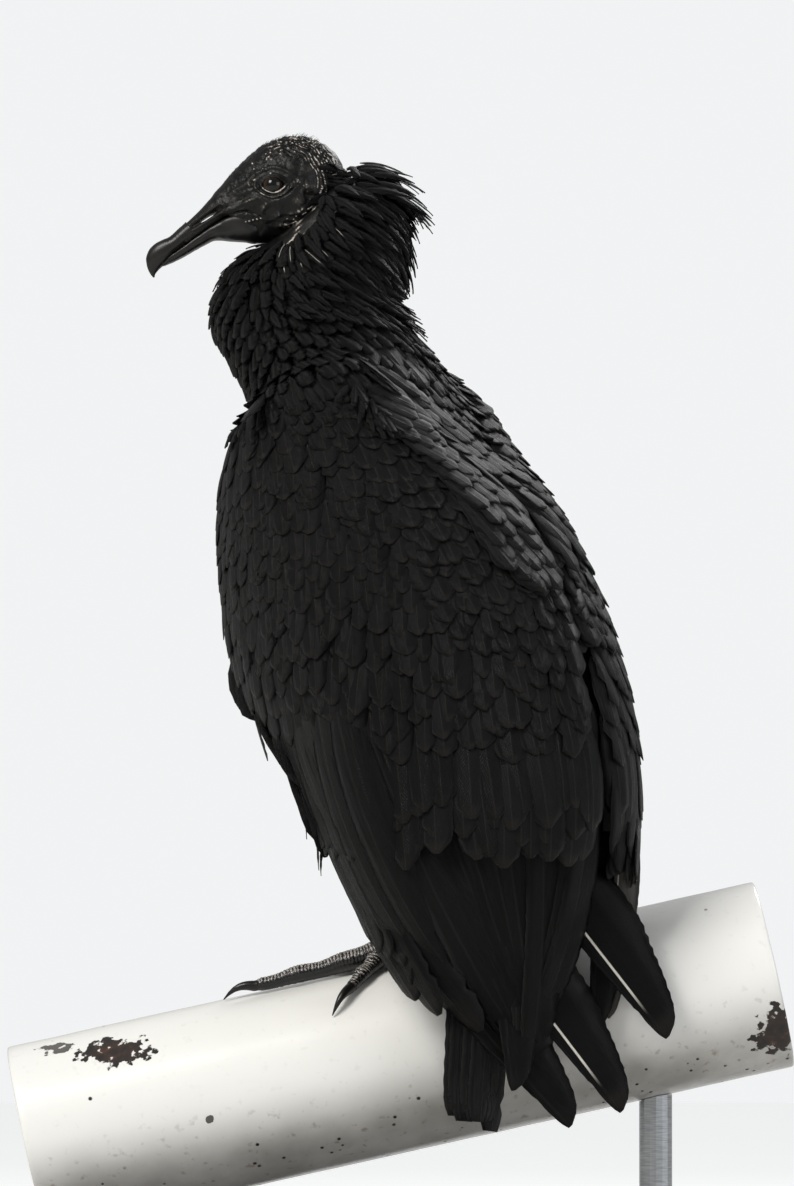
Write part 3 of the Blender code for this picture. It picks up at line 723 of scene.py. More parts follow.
def scaled(rows, path, scute, depth, topShare):
    # scutes in rings over the top of a toe, and a pebbled skin at its sides and under it
    lengths = np.cumsum([0.0] + [(b - a).length for a, b in zip(path, path[1:])])
    count = rows.shape[1]
    turns = turnsOf(count)
    top = smoothStep(-0.15, 0.35, np.sin(turns))[None, :] * topShare
    slot = (lengths / scute) % 1.0
    groove = np.exp(-((slot - 0.5) / 0.13) ** 2)[:, None]
    lumps = pebbles(rows, 0.0013)
    relief = top * depth * (0.1 + 0.6 * lumps - groove) + (1 - top) * depth * 1.1 * (lumps - 0.4)
    return rows + normalsOf(rows) * relief[..., None]


def makeFoot(side):
    along, angle, heading = leg["feet"][side]
    hip, heel = (Vector(p) for p in leg["thighs"][side])
    mirror = -1 if side == "Left" else 1
    palm = onRail(along, angle, leg["palm"] + 0.0008)
    pieces, claws = [], []
    steps = np.linspace(leg["thick"][0][0], 1.0, 56)
    shank = [heel.lerp(palm, t) for t in steps]
    radii = [leg["tarsus"] * blendStations(leg["thick"], t)[0] for t in steps]
    rows = tubeRings(shank, radii, 30, up=Vector((0, 1, 0)))
    pieces.append(gridObject("shank", scaled(rows, shank, *leg["scutes"]["shank"])))
    steps = np.linspace(-0.97, 0.97, 22)
    ball = [palm + Vector((0, 0, h)) * leg["palm"] for h in steps]
    radii = [leg["palm"] * math.sqrt(1 - h * h) for h in steps]
    rows = tubeRings(ball, radii, 30, up=Vector((0, 1, 0)))
    pieces.append(gridObject("palm", scaled(rows, ball, *leg["scutes"]["ball"])))
    for toe, (off, length, radius) in leg["toes"].items():
        way = heading + mirror * off
        low = radius * leg["swell"][-1][1] + leg["offRail"]
        rings = 18 + int(length / leg["toeRing"])
        path, radii = [], []
        for t in np.linspace(0, 1, rings):
            thick = radius * blendStations(leg["swell"], t)[0]
            path.append(toePlace(along, angle, way, length * t, thick + leg["offRail"]))
            tipped = math.sqrt(max(0.05, 1 - max(0.0, (t - 0.93) / 0.08) ** 2))
            radii.append(thick * tipped)
        upright = (palm - Vector((palm.x, 0, palm.z - leg["railRadius"]))).normalized()
        rows = tubeRings(path, radii, 26, up=upright)
        pieces.append(gridObject("toe", scaled(rows, path, *leg["scutes"]["toe"])))
        shape = leg["claw"]
        path, radii = [], []
        for t in np.linspace(-0.14, 1, 30):
            arch = shape["arch"] * math.sin(math.pi * max(t, 0)) - (low - leg["offRail"]) * max(t, 0) ** 2
            path.append(toePlace(along, angle, way, length + shape["gap"] + shape["length"] * t, low + arch))
            radii.append(shape["radius"] * (1 - 0.9 * max(t, 0) ** 1.3))
        rows = tubeRings(path, radii, 20, up=upright)
        rows = rows + normalsOf(rows) * (0.00006 * grain(rows, 0.0016, 4.0))[..., None]
        claws.append((gridObject(f"claw{side}{toe}", rows), f"claw_{side.lower()}_{toe.lower()}"))
    thigh = [hip.lerp(heel, t) for t in np.linspace(0.0, 1.06, 20)]
    high, low = leg["thighRadii"]
    radii = [high - (high - low) * float(smoothStep(0.0, 1.0, t)) for t in np.linspace(0, 1, 20)]
    pieces.append(gridObject("thigh", tubeRings(thigh, radii, 24, up=Vector((0, 1, 0)))))
    return pieces, claws


def makeRail():
    # the cut length of painted rail: true round, its ends eased, its thick paint a little uneven
    half = rail["length"] / 2
    even = np.linspace(-half + rail["edge"], half - rail["edge"], rail["rings"])
    turns = np.linspace(0, 360, rail["around"], endpoint=False)
    eased = 0.3 * rail["edge"]
    ends = [(half, rail["edge"]), (half - eased, eased)]
    rings = [(-along, inward) for along, inward in ends] + [(along, 0.0) for along in even] + ends[::-1]
    rows = np.array([[np.array(onRail(along, turn, -inward)) for turn in turns] for along, inward in rings])
    uneven = rail["wave"] * (1 + grain(rows, rail["waveSize"], 8.0))
    return gridObject("perchRail", rows - normalsOf(rows) * uneven[..., None])


fleshNodes = ["head", "neck", "trunk", "thigh_left", "thigh_right", "foot_left", "foot_right",
              "wing_left_coverts", "wing_right_coverts"]
leftWing = ["wing_left_coverts", "wing_left_secondaries", "wing_left_primaries"]
rightWing = ["wing_right_coverts", "wing_right_flight"]
trees = {
    "trunk": shellOf(["trunk", "neck"]),
    "mass": shellOf(["trunk", "neck", "wing_left_coverts", "wing_right_coverts"]),
    "left": shellOf(leftWing, body["wingVoxel"], body["wingSmooth"], outerOnly=True),
    "right": shellOf(rightWing, body["wingVoxel"], body["wingSmooth"], outerOnly=True),
    "thighs": shellOf(["thigh_left", "thigh_right"]),
}
bodySkin = makeBodySkin()
print("body skin:", len(bodySkin.data.polygons), "faces")
footParts, claws = [], []
for side in ("Left", "Right"):
    made, sharp = makeFoot(side)
    footParts += made
    claws += sharp
perchRail = makeRail()
skin = merged(skin, [bodySkin] + footParts)
print("one skin:", len(skin.data.polygons), "faces")


# the vanes that feathers are made from: one across, one long, thin and closed
plume = {
    "patch": 0.003, "tones": {"dark": 0.5, "paleShaftAndGlint": 2.5, "silver": 3.5}, "seed": 40,
    # what the tree reads from each root, and the last two from the vane
    "fields": {"chord": "FLOAT_VECTOR", "out": "FLOAT_VECTOR", "span": "FLOAT_VECTOR", "bow": "FLOAT_VECTOR",
               "rootPlace": "FLOAT_VECTOR", "kind": "INT", "along": "FLOAT", "vane": "FLOAT_VECTOR"},
    # each vane: half width along its length, rings, points across, camber, thickness, how frayed its edges
    # are, how far the edges run ahead, splits and the width left at them, and its halves' shares of the width
    "vanes": {
        "covert": (((0, 0.05), (0.12, 0.24), (0.35, 0.43), (0.62, 0.50), (0.84, 0.42), (0.95, 0.27),
                    (1, 0.10)), 8, 6, 0.22, 0.012, 0.12, 0.10, 1, 0.72, (1, 1)),
        "covertWorn": (((0, 0.05), (0.12, 0.22), (0.35, 0.40), (0.65, 0.49), (0.86, 0.40), (0.96, 0.20),
                        (1, 0.06)), 8, 6, 0.18, 0.012, 0.22, 0.13, 2, 0.62, (1, 1)),
        "covertLong": (((0, 0.05), (0.10, 0.26), (0.30, 0.44), (0.60, 0.49), (0.86, 0.43), (0.96, 0.28),
                        (1, 0.09)), 8, 6, 0.20, 0.011, 0.07, 0.12, 1, 0.85, (1, 1)),
        "scale": (((0, 0.06), (0.20, 0.34), (0.50, 0.50), (0.80, 0.44), (0.94, 0.28), (1, 0.12)),
                  9, 4, 0.50, 0.026, 0.22, 0.10, 0, 1, (1, 1)),
        "scaleLoose": (((0, 0.06), (0.20, 0.30), (0.55, 0.50), (0.85, 0.36), (1, 0.10)),
                       9, 4, 0.34, 0.026, 0.42, 0.16, 2, 0.6, (1, 1)),
        "lance": (((0, 0.08), (0.20, 0.42), (0.45, 0.50), (0.75, 0.30), (0.92, 0.14), (1, 0.03)),
                  10, 4, 0.40, 0.036, 0.24, 0.10, 0, 1, (1, 1)),
        "lanceLoose": (((0, 0.08), (0.20, 0.40), (0.50, 0.48), (0.78, 0.26), (0.93, 0.12), (1, 0.02)),
                       10, 4, 0.25, 0.036, 0.55, 0.14, 1, 0.6, (1, 1)),
        "wisp": (((0, 0.30), (0.30, 0.50), (0.70, 0.34), (1, 0.03)),
                 8, 4, 0.15, 0.12, 0.30, 0.02, 0, 1, (1, 1)),
        "flight": (((0, 0.10), (0.05, 0.30), (0.15, 0.46), (0.50, 0.50), (0.86, 0.47), (0.96, 0.36),
                    (0.99, 0.2), (1, 0.08)), 40, 6, 0.24, 0.018, 0.03, 0.05, 1, 0.88, (1, 0.62)),
        "flightWorn": (((0, 0.10), (0.05, 0.30), (0.15, 0.46), (0.50, 0.50), (0.88, 0.46), (0.97, 0.30),
                        (1, 0.10)), 40, 6, 0.20, 0.018, 0.06, 0.06, 3, 0.86, (1, 0.62)),
        "finger": (((0, 0.50), (0.20, 0.80), (0.45, 0.80), (0.62, 0.66), (0.80, 0.50), (0.91, 0.37),
                    (0.97, 0.23), (1, 0.06)), 36, 6, 0.16, 0.020, 0.04, 0.04, 2, 0.88, (1, 0.21)),
        "tail": (((0, 0.16), (0.15, 0.36), (0.50, 0.47), (0.86, 0.50), (0.965, 0.44), (1, 0.30)),
                 34, 6, 0.16, 0.022, 0.07, 0.06, 4, 0.7, (1, 1)),
    },
    "sections": {
        4: ((-1, 0), (0, 1), (1, 0), (0, -1)),
        6: ((-1, 0), (-0.52, 0.62), (0, 1), (0.52, 0.62), (1, 0), (0, -0.8)),
    },
}
kinds = {name: index for index, name in enumerate(plume["vanes"])}


def makeVane(name, outline, steps, across, camber, thick, fringe, slant, splits, keep, halves, seed):
    rng = np.random.default_rng(seed)
    section = plume["sections"][across]
    where, sides = rng.integers(steps // 3, steps - 1, splits), rng.integers(0, 2, splits)
    split = {int(i): int(s) for i, s in zip(where, sides)}
    shape = bmesh.new()
    rings, places = [], {}
    for i in range(steps + 1):
        t = i / steps
        half = blendStations(outline, t)[0]
        fray = fringe * (i % 2) * float(smoothStep(0.1, 0.5, t))
        ring = []
        for s, side in section:
            reach, ahead = half, slant * half * 2 * t * (1 - t) * 2 * abs(s)
            if abs(s) == 1:
                reach *= 1 - fray * rng.uniform(0.4, 1.0)
                if split.get(i) == (s > 0):
                    reach *= keep
            x = s * reach * halves[int(s > 0)]
            y = min(1.0, t + ahead)
            ridge = 1.5 if s == 0 and side > 0 else 1.0
            z = -camber * (2 * x) ** 2 * 0.5 + side * thick * ridge
            vert = shape.verts.new((x, y, z))
            places[vert] = (0.5 + x, y)
            ring.append(vert)
        rings.append(ring)
    for low, high in zip(rings, rings[1:]):
        for j in range(across):
            k = (j + 1) % across
            shape.faces.new((low[j], low[k], high[k], high[j]))
    shape.faces.new(list(reversed(rings[0])))
    shape.faces.new(rings[-1])
    shape.verts.index_update()
    layer = shape.loops.layers.uv.new("vane")
    for face in shape.faces:
        face.smooth = True
        for loop in face.loops:
            loop[layer].uv = places[loop.vert]
    bmesh.ops.recalc_face_normals(shape, faces=shape.faces)
    mesh = bpy.data.meshes.new(name)
    shape.to_mesh(mesh)
    along = [places[v][1] for v in shape.verts]
    shape.free()
    addField(mesh, "along", along)
    return bpy.data.objects.new(name, mesh)


def makeVanes():
    kept = bpy.data.collections.new("vanes")
    for index, row in enumerate(plume["vanes"].values()):
        kept.objects.link(makeVane(f"vane{index:02d}", *row, seed=plume["seed"] + index))
    return kept


def featherTree():
    # puts a vane on every root, bends it along the body and writes its patch of the unwrap
    tree = bpy.data.node_groups.new("feathers", "GeometryNodeTree")
    tree.interface.new_socket("Geometry", in_out="OUTPUT", socket_type="NodeSocketGeometry")
    inputs = {"Roots": "Geometry", "Vanes": "Collection", "Plumage": "Material", "Patch": "Float"}
    for name, kind in inputs.items():
        tree.interface.new_socket(name, in_out="INPUT", socket_type="NodeSocket" + kind)
    given = addNode(tree, "NodeGroupInput", out=None).outputs
    field = {name: addNode(tree, "GeometryNodeInputNamedAttribute", {"Name": name}, data_type=kind)
             for name, kind in plume["fields"].items()}

    choice = addNode(tree, "GeometryNodeCollectionInfo", {
        "Collection": given["Vanes"], "Separate Children": True, "Reset Children": True})
    turn = addNode(tree, "FunctionNodeAxesToRotation", (field["chord"], field["out"]),
                   primary_axis="Y", secondary_axis="Z")
    placed = addNode(tree, "GeometryNodeInstanceOnPoints", {
        "Points": given["Roots"], "Instance": choice, "Pick Instance": True, "Instance Index": field["kind"],
        "Rotation": turn, "Scale": field["span"]})
    whole = addNode(tree, "GeometryNodeRealizeInstances", (placed,))
    # the bend: nothing at the root and the tip, most half way along
    rest = addNode(tree, "ShaderNodeMath", (1.0, field["along"]), operation="SUBTRACT")
    both = addNode(tree, "ShaderNodeMath", (field["along"], rest), operation="MULTIPLY")
    four = addNode(tree, "ShaderNodeMath", (both, 4.0), operation="MULTIPLY")
    offset = addNode(tree, "ShaderNodeVectorMath", {0: field["bow"], "Scale": four}, operation="SCALE")
    bent = addNode(tree, "GeometryNodeSetPosition", {"Geometry": whole, "Offset": offset})
    # the whole vane shrinks to a patch round the place where its root stands on the unwrap
    centred = addNode(tree, "ShaderNodeVectorMath", (field["vane"], (0.5, 0.5, 0)), operation="SUBTRACT")
    small = addNode(tree, "ShaderNodeVectorMath", {0: centred, "Scale": given["Patch"]}, operation="SCALE")
    spot = addNode(tree, "ShaderNodeVectorMath", (field["rootPlace"], small), operation="ADD")
    stored = addNode(tree, "GeometryNodeStoreNamedAttribute", {
        "Geometry": bent, "Name": "OFBake", "Value": spot}, data_type="FLOAT2", domain="CORNER")
    finished = addNode(tree, "GeometryNodeSetMaterial", {"Geometry": stored, "Material": given["Plumage"]})
    addNode(tree, "NodeGroupOutput", (finished,), out=None)
    return tree


def feathered(name, rows, material):
    # rows of (root, tip, out, width, kind, bow, place on the unwrap, tone)
    mesh = bpy.data.meshes.new(name + "Roots")
    mesh.from_pydata([tuple(row[0]) for row in rows], [], [])
    chords = [row[1] - row[0] for row in rows]
    fields = {
        "chord": [tuple(chord.normalized()) for chord in chords],
        "out": [tuple(row[2]) for row in rows],
        "span": [(row[3], chord.length, row[3]) for row, chord in zip(rows, chords)],
        "bow": [tuple(row[5]) for row in rows],
        "rootPlace": [(row[6][0], row[6][1], 0) for row in rows],
    }
    for field, values in fields.items():
        addField(mesh, field, np.ravel(values), "FLOAT_VECTOR")
    addField(mesh, "kind", [row[4] for row in rows], "INT")
    addField(mesh, "tone", [row[7] for row in rows])
    roots = addPiece(name + "Roots", mesh)
    grow = roots.modifiers.new("feathers", "NODES")
    grow.node_group = plumageTree
    values = {"Vanes": vanes, "Plumage": material, "Patch": plume["patch"]}
    for socket in plumageTree.interface.items_tree:
        if socket.in_out == "INPUT" and socket.name in values:
            grow[socket.identifier] = values[socket.name]
    made = evaluated(roots)
    made.name = name
    for field in plume["fields"]:
        if field != "vane" and field in made.data.attributes:
            made.data.attributes.remove(made.data.attributes[field])
    triangles = sum(len(p.vertices) - 2 for p in made.data.polygons)
    print(name + ":", len(rows), "feathers,", triangles, "triangles")
    return made


coat = {
    "seed": 11,
    # lean of the lie towards the bird's back, by height
    "lean": ((0.20, 0.05), (0.30, 0.12), (0.36, 0.25), (0.42, 0.50), (0.50, 0.85), (0.54, 0.80), (0.57, 0.95),
             (0.60, 1.25), (0.63, 1.7), (0.66, 5.0)),
    "neckBand": {"apart": 0.0118, "tilt": 35, "sink": 0.0022, "low": 0.548},
    "wingLean": ((0.20, 0.22), (0.30, 0.16), (0.36, 0.10), (0.44, 0.12), (0.50, 0.35), (0.56, 0.6)),
    "unwrapLow": 0.10, "unwrapHigh": 0.68,
    # the bare face: forward, up, reach; and the edge round it where white quills show, painted pale as
    # glints, and their share
    "bare": (0.0085, 0.0040, 0.0215), "bareEdge": 0.0120, "bareShare": 0.3,
    # how loosely the feathers stand: angle, and shares of the rows' distance, of the lie and of the size
    "loose": {"turn": 0.9, "height": 0.16, "lean": 0.07, "size": 0.07, "width": (0.92, 1.08),
              "lift": (0.2, 1.7)},
    # a lift above which feathers may stand up, how far up a tip may rise, lying or standing, and the most bow
    "standing": 0.008, "rise": (-0.15, 0.45), "bow": 0.22,
    # tract: tree, heights, angles, rows apart, across, length, width, depth, lift, lean, kinds
    "tracts": {
        "featherNeck": (
            ("mass", 0.498, 0.600, -185, 175, 0.0070, 0.0078, 0.0200, 0.0115, 0.0045, 0.0010, "lean",
             ("scale", "scaleLoose", "scaleLoose")),
            ("mass", 0.586, 0.628, -175, -20, 0.0058, 0.0062, 0.0150, 0.0072, 0.0035, 0.0008, "lean",
             ("scaleLoose", "lanceLoose")),
            ("mass", 0.560, 0.646, -25, 190, 0.0062, 0.0062, 0.0230, 0.0070, 0.0040, 0.0048, "lean",
             ("lance", "lanceLoose")),
            ("mass", 0.624, 0.652, 15, 165, 0.0042, 0.0062, 0.0230, 0.0070, 0.0030, 0.0110, "lean",
             ("lance", "lanceLoose")),
        ),
        "featherBack": (
            ("mass", 0.395, 0.552, 40, 175, 0.0088, 0.0098, 0.0330, 0.0175, 0.0060, 0.0012, "lean",
             ("covert", "covertWorn")),
        ),
        "featherBreast": (
            ("trunk", 0.266, 0.530, -172, -8, 0.0090, 0.0100, 0.0320, 0.0165, 0.0055, 0.0012, "lean",
             ("covert", "covertWorn")),
        ),
    },
    # on either wing, from the tips of the long ones up: heights, rows apart, across, length, width, depth,
    # lift and kinds; and the angles that the wings take up
    "wingTracts": (
        (0.318, 0.343, 0.0120, 0.0125, 0.0620, 0.0200, 0.0030, 0.0010, ("covertLong",)),
        (0.345, 0.415, 0.0105, 0.0110, 0.0400, 0.0180, 0.0040, 0.0012, ("covertLong", "covertWorn")),
        (0.415, 0.548, 0.0086, 0.0094, 0.0300, 0.0180, 0.0030, 0.0004, ("covert", "covertWorn", "covert")),
    ),
    "wingTurns": {"Left": (-80, 130), "Right": (50, 260)},
}
for side, turns in coat["wingTurns"].items():
    coat["tracts"]["featherWing" + side] = [
        (side.lower(), low, high, *turns, *sizes, "wingLean", choice)
        for low, high, *sizes, choice in coat["wingTracts"]
    ]


def unwrapPlace(point):
    # round the spine for u and up it for v: where this place lies on the skin laid flat
    middle, left, back = spineAt(point.z)
    away = point - middle
    u = math.atan2(away.dot(back), away.dot(left)) / (2 * math.pi) % 1.0
    v = (point.z - coat["unwrapLow"]) / (coat["unwrapHigh"] - coat["unwrapLow"])
    return 0.01 + 0.98 * u, 0.01 + 0.98 * min(1, max(0, v))


def follow(tree, point, way, length):
    # one step along a surface; past the edge of an open one the step goes straight on
    wanted = point + way * length
    spot, normal, index, gap = tree.find_nearest(wanted)
    if gap > 0.35 * length and tree in (trees["left"], trees["right"]):
        return wanted, None
    return spot, normal


def layFeather(tree, root, normal, lie, length, width, depth, lift, kind, tone):
    flat = (lie - normal * lie.dot(normal)).normalized()
    middle, middleOut = follow(tree, root, flat, length * 0.5)
    middleOut = middleOut or normal
    onward = (flat - middleOut * flat.dot(middleOut)).normalized()
    tip, tipOut = follow(tree, middle, onward, length * 0.5)
    tipOut = tipOut or middleOut
    start = root - normal * depth
    end = tip + tipOut * lift
    bow = middle + middleOut * (0.5 * lift - 0.3 * depth) - (start + end) / 2
    return start, end, middleOut, width, kinds[kind], bow, unwrapPlace(root), tone


def banded(feather, back):
    # the ruff's feathers gather in ridges that run down and back, with dark furrows between them
    band = coat["neckBand"]
    root, tip = feather[0], feather[1]
    tilt = math.radians(band["tilt"])
    phase = (tip.dot(back) * math.sin(tilt) + tip.z * math.cos(tilt)) / band["apart"]
    raised = math.cos(2 * math.pi * phase)
    shift = feather[2] * band["sink"] * (0.55 * raised - 0.35)
    return (root + shift * 0.4, tip + shift) + feather[2:]


def makeTract(rows, rng):
    (tree, low, high, first, last, apart, across, length, width, depth, lift, lean, choice) = rows
    tree, loose = trees[tree], coat["loose"]
    laid = []
    for number, height in enumerate(np.arange(high, low, -apart)):
        turns = np.linspace(first, last, 72)
        spots = [surfaceAt(tree, height, turn)[0] for turn in turns]
        reach = [0.0]
        for a, b in zip(spots, spots[1:]):
            reach.append(reach[-1] + ((b - a).length if a is not None and b is not None else 0.0))
        wanted = np.arange(0.5 * across * (number % 2), reach[-1], across)
        for turn in np.interp(wanted, reach, turns):
            turn += rng.normal(0, loose["turn"])
            at = height + rng.normal(0, apart * loose["height"])
            root, normal = surfaceAt(tree, at, turn)
            if root is None:
                continue
            back = spineAt(at)[2]
            behind = 1.0 if lean == "wingLean" else float(smoothStep(-0.9, 0.1, math.sin(math.radians(turn))))
            slope = blendStations(coat[lean], at)[0] * behind
            lie = Vector((0, 0, -1)) + back * (slope + rng.normal(0, loose["lean"]))
            size = rng.normal(1, loose["size"])
            feather = layFeather(
                tree, root, normal, lie, length * size, width * size * rng.uniform(*loose["width"]), depth,
                lift * rng.uniform(*loose["lift"]), str(rng.choice(choice)), float(rng.uniform()))
            if at > coat["neckBand"]["low"] and 5 < turn < 185:
                feather = banded(feather, back)
            # the head is bare behind the ear too, and some of the first feathers round it show white quills,
            # painted pale as glints
            forward, side, up = headPlaces(np.array(root))
            away = math.hypot(forward - coat["bare"][0], up - coat["bare"][1]) - coat["bare"][2]
            if away < 0:
                continue
            if away < coat["bareEdge"] and feather[7] < coat["bareShare"]:
                feather = feather[:7] + (plume["tones"]["paleShaftAndGlint"],)
            # one that turns up or bends double has lost its surface, but on the crest of the ruff they stand
            chord = feather[1] - feather[0]
            highest = coat["rise"][int(lift > coat["standing"])]
            if chord.z < highest * chord.length and feather[5].length < coat["bow"] * chord.length:
                laid.append(feather)
    return laid


# the scapulars: a flap of long feathers from the shoulder back over the wing, free along its lower edge
scapular = {
    "upper": ((-0.0233, 0.5344), (-0.0024, 0.5278), (0.0421, 0.4849), (0.0724, 0.4673), (0.0960, 0.4300)),
    "lower": ((-0.0200, 0.4960), (-0.0024, 0.4882), (0.0267, 0.4574), (0.0405, 0.4293), (0.0559, 0.4139)),
    "steps": 15, "lanes": 6, "length": 0.040, "width": 0.0165, "lift": 0.0030, "hang": 0.0032,
    "raised": 0.0006, "scatter": 0.0012, "reach": 0.86, "kinds": ("covert", "covertWorn", "covertLong"),
    # how the feathers droop, and how they grow towards the flap's end
    "droop": (-0.03, 0.05), "uneven": 0.06, "grow": (0.72, 0.4),
    "tuft": {
        "path": ((-0.0281, 0.5177), (-0.0170, 0.5060), (-0.0072, 0.4968)), "count": 26, "scatter": 0.0016,
        "length": 0.017, "width": 0.0060, "raised": 0.0015, "lift": 0.0052,
        "kinds": ("lanceLoose", "scaleLoose"),
    },
}


def pathAt(path, share):
    shares = np.linspace(0, 1, len(path))
    return np.array([np.interp(share, shares, [p[i] for p in path]) for i in (0, 1)])


def towards(tree, x, z):
    # the near side of the body at one place across and up
    return tree.ray_cast(Vector((x, -0.6, z)), Vector((0, 1, 0)), 1.0)[:2]


def makeScapulars(rng):
    laid = []
    tree = trees["mass"]
    for step in range(scapular["steps"]):
        for lane in range(scapular["lanes"]):
            share = (step + 0.5 * (lane % 2)) / scapular["steps"] * scapular["reach"]
            down = (lane + 0.5) / scapular["lanes"]
            high, low = pathAt(scapular["upper"], share), pathAt(scapular["lower"], share)
            x, z = high + (low - high) * down + rng.normal(0, scapular["scatter"], 2)
            root, normal = towards(tree, x, z)
            if root is None:
                continue
            ahead = pathAt(scapular["upper"], share + 0.1) - high
            below = pathAt(scapular["lower"], share + 0.1) - low
            way = ahead / np.linalg.norm(ahead) * (1 - down) + below / np.linalg.norm(below) * down
            lie = Vector((way[0], 0, way[1])) + Vector((0, 0, rng.normal(*scapular["droop"])))
            size = rng.normal(1, scapular["uneven"]) * (scapular["grow"][0] + scapular["grow"][1] * share)
            lift = scapular["lift"] + scapular["hang"] * down ** 2 * rng.uniform(0.7, 1.2)
            kind = str(rng.choice(scapular["kinds"]))
            depth = -scapular["raised"] - 0.5 * scapular["hang"] * down
            laid.append(layFeather(
                tree, root, normal, lie, scapular["length"] * size, scapular["width"] * size, depth, lift,
                kind, float(rng.uniform(0.3, 1))))
    # a ruffled tuft at the shoulder, its loose ends over a dark cleft
    tuft = scapular["tuft"]
    for place in np.linspace(0, 1, tuft["count"]):
        x, z = pathAt(tuft["path"], place) + rng.normal(0, tuft["scatter"], 2)
        root, normal = towards(tree, x, z)
        lie = Vector((-0.25 + 0.5 * place + rng.normal(0, 0.2), 0, -1))
        length, lift = tuft["length"] * rng.uniform(0.8, 1.2), tuft["lift"] * rng.uniform(0.7, 1.2)
        laid.append(layFeather(tree, root, normal, lie, length, tuft["width"], -tuft["raised"], lift,
                               str(rng.choice(tuft["kinds"])), 0.9))
    return laid


# on the head itself: fine feathers at the nape and bristles, by forward place, angle and count
headCoat = {
    "nape": {"places": (-0.0275, -0.0135, 0.0023), "turns": ((-52, 14, 11), (166, 232, 11)), "length": 0.0150,
             "width": 0.0050, "depth": 0.0012, "lift": 0.0022, "paleAndGlint": 0.16, "up": 0.004,
             "loose": {"turn": 2, "place": 0.0006, "lie": (-0.55, 0.1), "length": (0.8, 1.15)}},
    "bristles": ((-0.024, 0.030, 25, 155, 560), (0.012, 0.032, -40, 40, 90), (0.012, 0.032, 140, 220, 90),
                 (-0.004, 0.034, 215, 325, 260)),
    "bristle": {"lift": 0.0006, "length": 0.0019, "width": 0.00042, "depth": 0.0004, "up": 0.006,
                "clear": 2.0, "loose": 0.0003, "tone": 0.2},
    "reach": 0.06,
}


def headHit(forward, up, angle):
    # the head's skin at a forward place and an angle round it
    middle = Vector(headPoints(forward, 0.0, up))
    way = Vector(headAxes[1] * math.cos(angle) + headAxes[2] * math.sin(angle))
    return trees["head"].ray_cast(middle + way * headCoat["reach"], -way, headCoat["reach"])[:2]


def makeNape(rng):
    # fine lanceolate feathers from the back of the head over the sides of the ruff
    shape, loose = headCoat["nape"], headCoat["nape"]["loose"]
    turns = np.concatenate([np.arange(*part) for part in shape["turns"]])
    apart = turns[1] - turns[0]
    laid = []
    for ring, place in enumerate(np.arange(*shape["places"])):
        for turn in turns + 0.5 * apart * (ring % 2):
            angle = math.radians(turn + rng.normal(0, loose["turn"]))
            root, normal = headHit(place + rng.normal(0, loose["place"]), shape["up"], angle)
            if root is None:
                continue
            lie = Vector(-headAxes[0]) + Vector((0, 0, rng.normal(*loose["lie"])))
            kind = str(rng.choice(("lance", "lanceLoose")))
            # some nape feathers get white quills: pale painted on as glints
            tone = plume["tones"]["paleShaftAndGlint"] if rng.uniform() < shape["paleAndGlint"] else float(rng.uniform())
            length = shape["length"] * rng.uniform(*loose["length"])
            laid.append(layFeather(trees["head"], root, normal, lie, length, shape["width"], shape["depth"],
                                   shape["lift"], kind, tone))
    return laid


def makeBristles(rng):
    # short stiff bristles on the crown, lores and chin
    shape = headCoat["bristle"]
    laid = []
    for low, high, first, last, count in headCoat["bristles"]:
        for each in range(count):
            forward, angle = rng.uniform(low, high), math.radians(rng.uniform(first, last))
            root, normal = headHit(forward, shape["up"], angle)
            if root is None or eyePlaces(forward, headPlaces(np.array(root))[2])[2] < shape["clear"]:
                continue
            onward = Vector(-headAxes[0]) * shape["length"] + Vector(rng.normal(0, shape["loose"], 3))
            tip = root + normal * shape["lift"] + onward
            laid.append((root - normal * shape["depth"], tip, normal, shape["width"], kinds["wisp"], Vector(),
                         unwrapPlace(root), shape["tone"]))
    return laid


def makeWisps(rng):
    # a few loose feathers that hang free at the flank
    shape = flights["wisp"]
    laid = []
    for x, z, long in flights["wisps"]:
        root = Vector((x, rng.normal(shape["deep"], 0.002), z))
        tip = root + Vector((rng.normal(-0.001, 0.0012), 0.001, -long))
        laid.append((root, tip, Vector(shape["out"]), shape["width"], kinds["wisp"], Vector(shape["bow"]),
                     unwrapPlace(root), shape["tone"]))
    return laid


trees["head"] = BVHTree.FromPolygons([v.co.copy() for v in skin.data.vertices],
                                     [tuple(p.vertices) for p in skin.data.polygons])
vanes = makeVanes()
plumageTree = featherTree()
dice = np.random.default_rng(coat["seed"])
tractRows = {}
for name, tracts in coat["tracts"].items():
    tractRows[name] = []
    for rows in tracts:
        tractRows[name] += makeTract(rows, dice)
    print(name, len(tractRows[name]))


